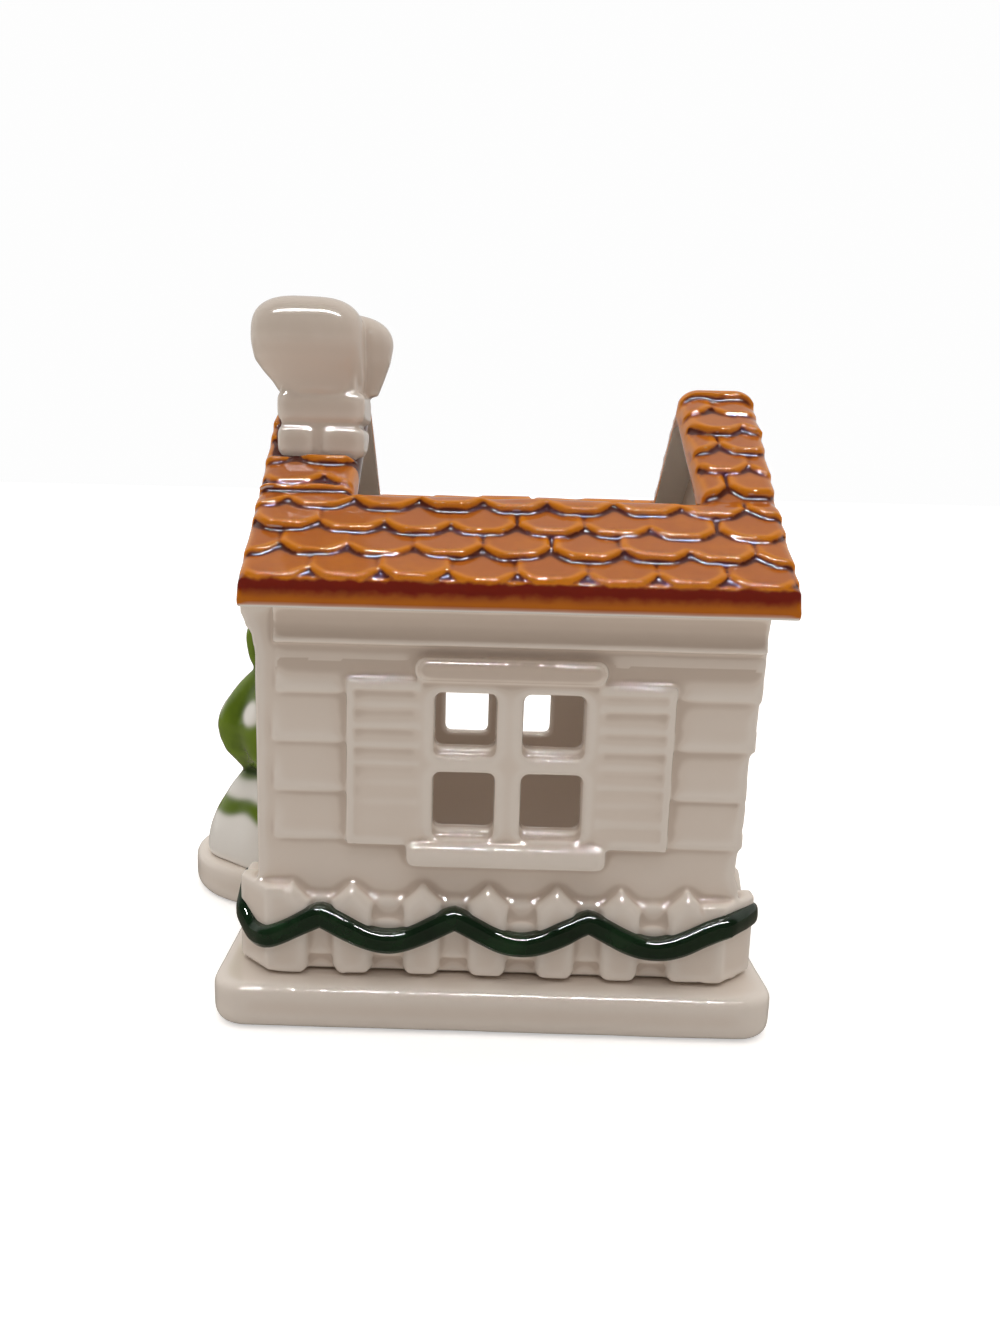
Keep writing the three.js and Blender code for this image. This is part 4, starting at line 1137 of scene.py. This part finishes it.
def round_rims(mesh):
    """Rounds the roof over at its gable ends and round the opening, and lets both strips flare out."""
    points = places(mesh)
    x, y, z = points.T
    height = (z - RIDGE + SLOPE * abs(y)) * COSINE
    up = (EAVE_HALF - abs(y)) * COSINE + (z - FASCIA_TOP) * SINE
    below = numpy.maximum(STRIP_START - up, 0.0)
    edge = numpy.minimum(numpy.hypot(outside(x, OPENING_X), below),
                         numpy.minimum(x - ROOF_LEFT_X[0], ROOF_RIGHT_X[1] - x))
    radius = RIM_RADIUS + RIDGE_ROUNDER * fade(z, *RIDGE_Z)
    inside = numpy.clip(radius - edge, 0.0, radius)
    drop = (radius - numpy.sqrt(radius ** 2 - inside ** 2)) * fade(height, -ROOF_THICKNESS, 0.0)
    slide = fade(abs(y), 0.0, 10.0)
    points[:, 1] -= numpy.sign(y) * SINE * drop * slide
    points[:, 2] -= (COSINE + 0.2 * (1.0 - slide)) * drop
    from_stack = numpy.hypot(outside(x, STACK_X), outside(y, STACK_Y))
    lowered = numpy.clip(height, 0.0, None) * fade(from_stack, 2.5, 0.0)
    points[:, 1] -= numpy.sign(y) * SINE * lowered
    points[:, 2] -= COSINE * lowered
    darken_glaze(mesh, 0.5 * fade(from_stack, 1.6, 0.6))
    points[:, 0] += fade(z, *FLARE_Z) * numpy.interp(x, (ROOF_LEFT_X[0], *OPENING_X, ROOF_RIGHT_X[1]), FLARE)
    mesh.vertices.foreach_set("co", points.ravel())


def roof_shapes():
    strips = ((ROOF_LEFT_X[0], OPENING_X[0]), (OPENING_X[1], ROOF_RIGHT_X[1]))
    return [
        *[roof_slab(left, right) for left, right in strips],
        eave_slab(-1), eave_slab(1),
        *[prism("x", circle(0.0, RIDGE - 0.9, 2.4, 24), left + 0.5, right - 0.5) for left, right in strips],
        *tile_fields(1, 5), *tile_fields(-1, 45),
    ]


# Chimney

def brick(x, y, low, high):
    levels = ((low, BRICK_EDGE), (low + 0.5, 0.5), (low + BRICK_EDGE, 0.0),
              (high - BRICK_EDGE, 0.0), (high - 0.5, 0.5), (high, BRICK_EDGE))
    return stack([level(rounded_rectangle(x, y, 1.9, 4, draw), z) for z, draw in levels])


def chimney_shapes():
    left, right = BRICK_X
    join, top = middle(BRICK_X) - 0.6, STACK_Z[1]
    return [
        brick(BRICK_X, STACK_Y, top - COURSE, top - BRICK_GAP),
        brick((left, join - BRICK_GAP / 2), STACK_Y, top - 2 * COURSE, top - COURSE - BRICK_GAP),
        brick((join + BRICK_GAP / 2, right), STACK_Y, top - 2 * COURSE, top - COURSE - BRICK_GAP),
        block((left + 1.2, ROOF_LEFT_X[1] - 1.2), (STACK_Y[0] + 1.2, STACK_Y[1] - 1.2),
              (STACK_Z[0] - 10, top + 4)),
    ]


def signed_power(value, power):
    return math.copysign(abs(value) ** power, value)


def heap(levels, top, power):
    """A heap of snow through levels, each (z, centre x, half x, centre y, half y), up to a flattened top."""
    z, x, half_x, y, half_y = levels[-1]
    crown = []
    for i in range(1, 10):
        turn = math.pi / 2 * i / 9.6
        share = math.cos(turn) ** (2 / power)
        crown.append((z + (top - z) * math.sin(turn) ** (2 / power), x, half_x * share, y, half_y * share))
    turns = [math.pi * i / 32 for i in range(64)]
    return stack([[(x + half_x * signed_power(math.cos(turn), 2 / power),
                    y + half_y * signed_power(math.sin(turn), 2 / power), z) for turn in turns]
                  for z, x, half_x, y, half_y in levels + crown])


def cap_shapes():
    top = CAP_TOP - 0.6
    front = [(156.0, -48.4, 10.9, -16.0, 10.3), (158.5, -49.0, 11.9, -16.2, 10.7),
             (161.0, -50.0, 13.1, -16.8, 11.4), (164.0, -51.0, 14.2, -17.8, 12.3),
             (167.0, -51.3, 14.4, -18.7, 12.9), (168.7, -51.4, 14.5, -19.0, 13.0)]
    rear = [(156.0, -43.4, 9.2, -10.5, 5.0), (160.0, -43.2, 10.4, -9.5, 7.0),
            (165.0, -43.4, 12.2, -8.6, 9.2), (169.6, -43.6, 13.2, -8.0, 10.0)]
    return [heap(front, top, 3.0), heap(rear, top - 2.0, 2.3)]


# Tree: three tiers on a mound of snow

def tier(low, high, foot, rim_z, rim, neck, swell, phase):
    """A lobed tier, cut flat where it would pass through the left wall into the room."""
    levels = [(low - 1.0, foot), (low + (rim_z - low) * 0.4, foot + (rim - foot) * 0.7),
              (low + (rim_z - low) * 0.75, foot + (rim - foot) * 0.93), (rim_z, rim)]
    levels += [(rim_z + (high - rim_z) * i / 10, neck + (rim - neck) * math.cos(math.pi / 2 * i / 10))
               for i in range(1, 11)]
    loops = []
    for z, radius in levels:
        lobed = []
        for i in range(84):
            angle = 2 * math.pi * i / 84
            lobes = math.cos(TREE_LOBES * angle + phase) + 0.5 * math.cos(3 * angle + 2 * phase)
            x = TREE_X + radius * (1 + swell * lobes) * math.cos(angle)
            y = TREE_Y + radius * (1 + swell * lobes) * math.sin(angle)
            lobed.append((min(x, INTO_WALL_X) if y < INTO_WALL_Y else x, y, z))
        loops.append(lobed)
    return stack(loops)


def tree_shapes():
    return [
        tier(FOOT_Z[0] + 1, FOOT_Z[1] + 1, 27.2, 14.0, 27.8, 15.4, 0.03, 0.0),
        tier(TIER_Z[0] + 1.5, TIER_Z[1] + 1, 14.6, 54.0, 22.4, 10.8, 0.075, 0.6),
        tier(TOP_Z[0] - 1, TOP_Z[1], 9.8, 82.5, 13.2, 2.4, 0.08, 1.2),
    ]


def within(distance, reach):
    """From 1 within a reach to 0 beyond it, over a narrow edge."""
    return 1 / (1 + math.exp((distance - reach) / 0.4))


def paint_snow(mesh):
    """Marks what of the tree is white: the foot's mounds and an oval patch on each lobe."""
    mask = mesh.attributes.new("snow", "FLOAT", "POINT")
    for vertex, value in zip(mesh.vertices, mask.data):
        x, y, z = vertex.co
        angle = math.atan2(y - TREE_Y, x - TREE_X)
        wobble = 1.2 * math.sin(5 * angle) + 0.8 * math.sin(9 * angle + 1)
        from_patch = (angle * TREE_LOBES / (2 * math.pi) - 0.22) % 1.0 - 0.5
        oval = within(math.hypot(from_patch * 16.0, z - PATCH_Z), 3.6)
        mound = within(abs(z - MOUND_Z - 0.4 * wobble), 2.8)
        value.value = min(1.0, within(z, SNOW_LINE + wobble) + mound + oval)


# Making the pieces

def make_base():
    piece = fired("base_dish", base_shapes(), WHITE, 0.8, softness=2, pooling=14, ripple=0.15)
    finished(piece, "base", "white_glaze", "base_plate", "locating_step", "candle_ring")


def settle(mesh):
    """Leans the right wall out and spreads the fence there. Returns where the points were before."""
    points = places(mesh)
    before = points.copy()
    x, _, z = before.T
    points[:, 0] += LEAN * fade(x, *LEAN_X) * fade(z, *LEAN_Z)
    points[:, 0] += SPREAD * fade(x, *SPREAD_X) * fade(z, *SPREAD_Z)
    mesh.vertices.foreach_set("co", points.ravel())
    return before


WINDOW = ("window_frame_{0}", "window_lintel_{0}", "window_sill_{0}", "shutter_{0}_left", "shutter_{0}_right")
LONG_WALL = ("wall_{0}", "cornice_{0}", "fence_{0}", "corner_board_{0}", *WINDOW)
GABLE = ("gable_wall_{0}", "fence_{0}")


def make_house():
    shapes = [*long_wall("front", 11), *long_wall("back", 31), *gable_right(), *gable_left(), *fence_shapes()]
    shell = fired("shell", shapes, WHITE, 0.58, softness=2, pooling=20, ripple=0.14)
    x, y, z = settle(shell.data).T
    half_wall = WALL / 2
    # Painted shade: the glaze is darkened inside the room, on the wall under the eaves and on the lintel,
    # where the walls and the roof's overhang shade them.
    inside = (abs(y) < CORE_HALF - half_wall) & (x > CORE_LEFT + half_wall) & (x < CORE_RIGHT - half_wall)
    eave_shade = fade(z, *SHADED_Z) * (y < CORE_FRONT - 0.3)
    lintel = ((y < LINTEL_Y[0] + 0.8) & (abs(x - HOUSE_MIDDLE) < LINTEL_HALF)
              & (abs(z - middle(LINTEL_Z)) < 3.5))
    # The painted shade is added to the pool value, which darkens the glaze's colour.
    darken_glaze(shell.data, 0.45 * inside + 0.35 * eave_shade + 0.3 * lintel)
    between = [((0, -CUT_Y, 0), (0, -1, 0)), ((0, CUT_Y, 0), (0, 1, 0))]
    for side, nodes, planes in (
            ("front", LONG_WALL, [((0, -CUT_Y, 0), (0, 1, 0))]),
            ("back", LONG_WALL, [((0, CUT_Y, 0), (0, -1, 0))]),
            ("right", (*GABLE, *WINDOW), [*between, ((0, 0, 0), (-1, 0, 0))]),
            ("left", (*GABLE, "door_surround"), [*between, ((0, 0, 0), (1, 0, 0))])):
        piece = cut_off(shell, f"house_{side}", planes)
        finished(piece, "house", "white_glaze", *[name.format(side) for name in nodes], turn_out=False)
    discard(shell)


def make_door():
    centre = -middle(DOOR_Y)
    door = prism("y", door_outline(0.4, DOOR_Z[0] - 1), -2.0, 1.0)
    boards = [block((x + 0.5, x + 4.5), (-2.5, 0.5), (DOOR_Z[0] - 1, DOOR_Z[0] + 34))
              for x in (centre - 10, centre - 5, centre, centre + 5)]
    knob = ball(centre - 6.5, -2.6, DOOR_Z[0] + 20, 1.3, 8)
    piece = fired("door_leaf", on_wall("left", [door, *boards, knob]), DOOR, 0.4, softness=3, pooling=16)
    finished(piece, "house", "door_glaze", "door")
    step = block((-DOORSTEP_Y[1], -DOORSTEP_Y[0]), (DOORSTEP_X[0] - CORE_LEFT, 1.0), DOORSTEP_Z)
    piece = fired("door_step", on_wall("left", [step]), SNOW, 0.5, softness=5, pooling=16)
    finished(piece, "house", "snow_glaze", "doorstep")


def make_garland():
    points = garland_points()
    piece = drawn("garland", points, [], [(i, i + 1) for i in range(len(points) - 1)])
    dress(piece, ROPE, radius=ROPE_RADIUS, unevenness=0.12, scale=0.09, step=0.6, sides=22, material=GARLAND)
    harden(piece)
    settle(piece.data)
    finished(piece, "house", "garland_glaze",
             "garland_front", "garland_back", "garland_left", "garland_right")


def make_roof():
    roof = fired("roof", roof_shapes(), AMBER, 0.5, softness=2, pooling=8, ripple=0.10)
    left, right = [(x, 0, 0) for x in OPENING_X]
    between = [(left, (-1, 0, 0)), (right, (1, 0, 0))]
    cuts = {
        "roof_left": [(left, (1, 0, 0))],
        "roof_right": [(right, (-1, 0, 0))],
        "roof_front": [*between, ((0, 0, 0), (0, 1, 0))],
        "roof_back": [*between, ((0, 0, 0), (0, -1, 0))],
    }
    for name, planes in cuts.items():
        piece = cut_off(roof, f"{name}_tiled", planes)
        round_rims(piece.data)
        finished(piece, "house", "amber_glaze", name, turn_out=False)
    discard(roof)


def make_chimney():
    whole = fired("stack", [*chimney_shapes(), *cap_shapes()], SNOW, 0.45, softness=5, pooling=20, ripple=0.3)
    out = Vector((0, -SINE, COSINE))
    piece = cut_off(whole, "chimney", [(Vector((0, 0, RIDGE)) - STACK_SUNK * out, -out)])
    discard(whole)
    darken_glaze(piece.data, 0.32)
    finished(piece, "house", "snow_glaze", "chimney_stack", "chimney_snow_cap")


def make_tree():
    piece = fired("tree", tree_shapes(), TREE, 0.6, softness=6, pooling=24, ripple=0.5, ripple_scale=0.09)
    paint_snow(piece.data)
    finished(piece, "house", "tree_glaze", "tree_foot", "tree_middle", "tree_top")


# Camera, floor and lights

def set_camera():
    """The photograph's view, from the fit of its perspective."""
    focal, frame_width, frame_height, sensor = 1006.39, 1000.0, 1330.0, 36.0
    centre_x, centre_y = 459.37, 684.51
    where = Vector((-7.13, -291.157, 132.823)) / MM
    pan, tilt, roll = -0.0117508, -0.1938018, 0.0244131
    forward = Vector((math.sin(pan) * math.cos(tilt), math.cos(pan) * math.cos(tilt), math.sin(tilt)))
    across = Vector((math.cos(pan), -math.sin(pan), 0))
    straight = across.cross(forward)
    right = across * math.cos(roll) + straight * math.sin(roll)
    up = straight * math.cos(roll) - across * math.sin(roll)
    data = bpy.data.cameras.new("camera")
    data.lens = focal * sensor / frame_height
    data.sensor_width = sensor
    data.shift_x = (frame_width / 2 - centre_x) / frame_height
    data.shift_y = (centre_y - frame_height / 2) / frame_height
    data.clip_start, data.clip_end = 0.01, 60.0
    camera = linked("camera", data)
    camera.matrix_world = placing(right, up, -forward, where)
    bpy.context.scene.camera = camera


def light_strip(name, start, end, count, width, depth, strength):
    """A row of narrow lamps along the tent's ceiling, which shows as lines of light in the glaze."""
    points, faces = [], []
    for i in range(count):
        x, y, z = Vector(start).lerp(Vector(end), i / (count - 1))
        faces.append(tuple(range(len(points), len(points) + 4)))
        points += [(x + a * width / 2, y + b * depth / 2, z) for a, b in ((-1, -1), (-1, 1), (1, 1), (1, -1))]
    lamp = bpy.data.materials.new(name)
    tree = emptied(lamp)
    glow = node(tree, "ShaderNodeEmission", {"Strength": strength})[0]
    node(tree, "ShaderNodeOutputMaterial", {"Surface": glow})
    strip = drawn(name, points, faces)
    strip.data.materials.append(lamp)
    strip.visible_camera = False
    strip.visible_diffuse = False


def set_floor():
    """A pale floor that reads white, with the soft shadow of what stands on it."""
    reach = (-20.0, 20.0)
    paint = bpy.data.materials.new("floor")
    tree = emptied(paint)
    rays = node(tree, "ShaderNodeLightPath")
    pale = mix(rays["Is Glossy Ray"], (0.84, 0.83, 0.82, 1.0), (0.22, 0.19, 0.17, 1.0))
    matt = node(tree, "ShaderNodeBsdfDiffuse", {"Color": pale})[0]
    glow = node(tree, "ShaderNodeEmission", {"Strength": rays["Is Camera Ray"] * 0.48})[0]
    both = node(tree, "ShaderNodeAddShader", {0: matt, 1: glow})[0]
    node(tree, "ShaderNodeOutputMaterial", {"Surface": both})
    mesh = bpy.data.meshes.new("floor")
    mesh.from_pydata(level(rectangle(reach, reach), 0), [], [(0, 1, 2, 3)])
    mesh.materials.append(paint)
    linked("floor", mesh)


def set_room():
    """A white light tent with a pale floor: bright above and behind, dim on the viewer's side."""
    scene = bpy.context.scene
    scene.view_settings.view_transform = "Standard"
    scene.world = bpy.data.worlds.new("light tent")
    tree = emptied(scene.world)
    _, y, z = parts(node(tree, "ShaderNodeTexCoord")["Generated"])
    walls = mix(ramp(y, -0.75, 0.35), (0.10, 0.075, 0.06, 1.0), (0.80, 0.78, 0.75, 1.0))
    tent = mix(ramp(z, 0.50, 1.0), walls, (1.65, 1.60, 1.54, 1.0))
    mirrored = mix(ramp(y, -0.15, 0.35), (0.07, 0.055, 0.045, 1.0), (0.58, 0.56, 0.54, 1.0))
    rays = node(tree, "ShaderNodeLightPath")
    shown = mix(rays["Is Camera Ray"], mix(rays["Is Glossy Ray"], tent, mirrored), (0.985, 0.985, 0.985, 1.0))
    light = node(tree, "ShaderNodeBackground", {"Color": shown, "Strength": 1.0})[0]
    node(tree, "ShaderNodeOutputWorld", {"Surface": light})
    set_floor()
    light_strip("front strip", (-0.34, -0.28, 0.55), (0.34, -0.28, 0.55), 170, 0.0020, 0.026, 420.0)


set_camera()
set_room()
make_base()
make_house()
make_door()
make_garland()
make_roof()
make_chimney()
make_tree()
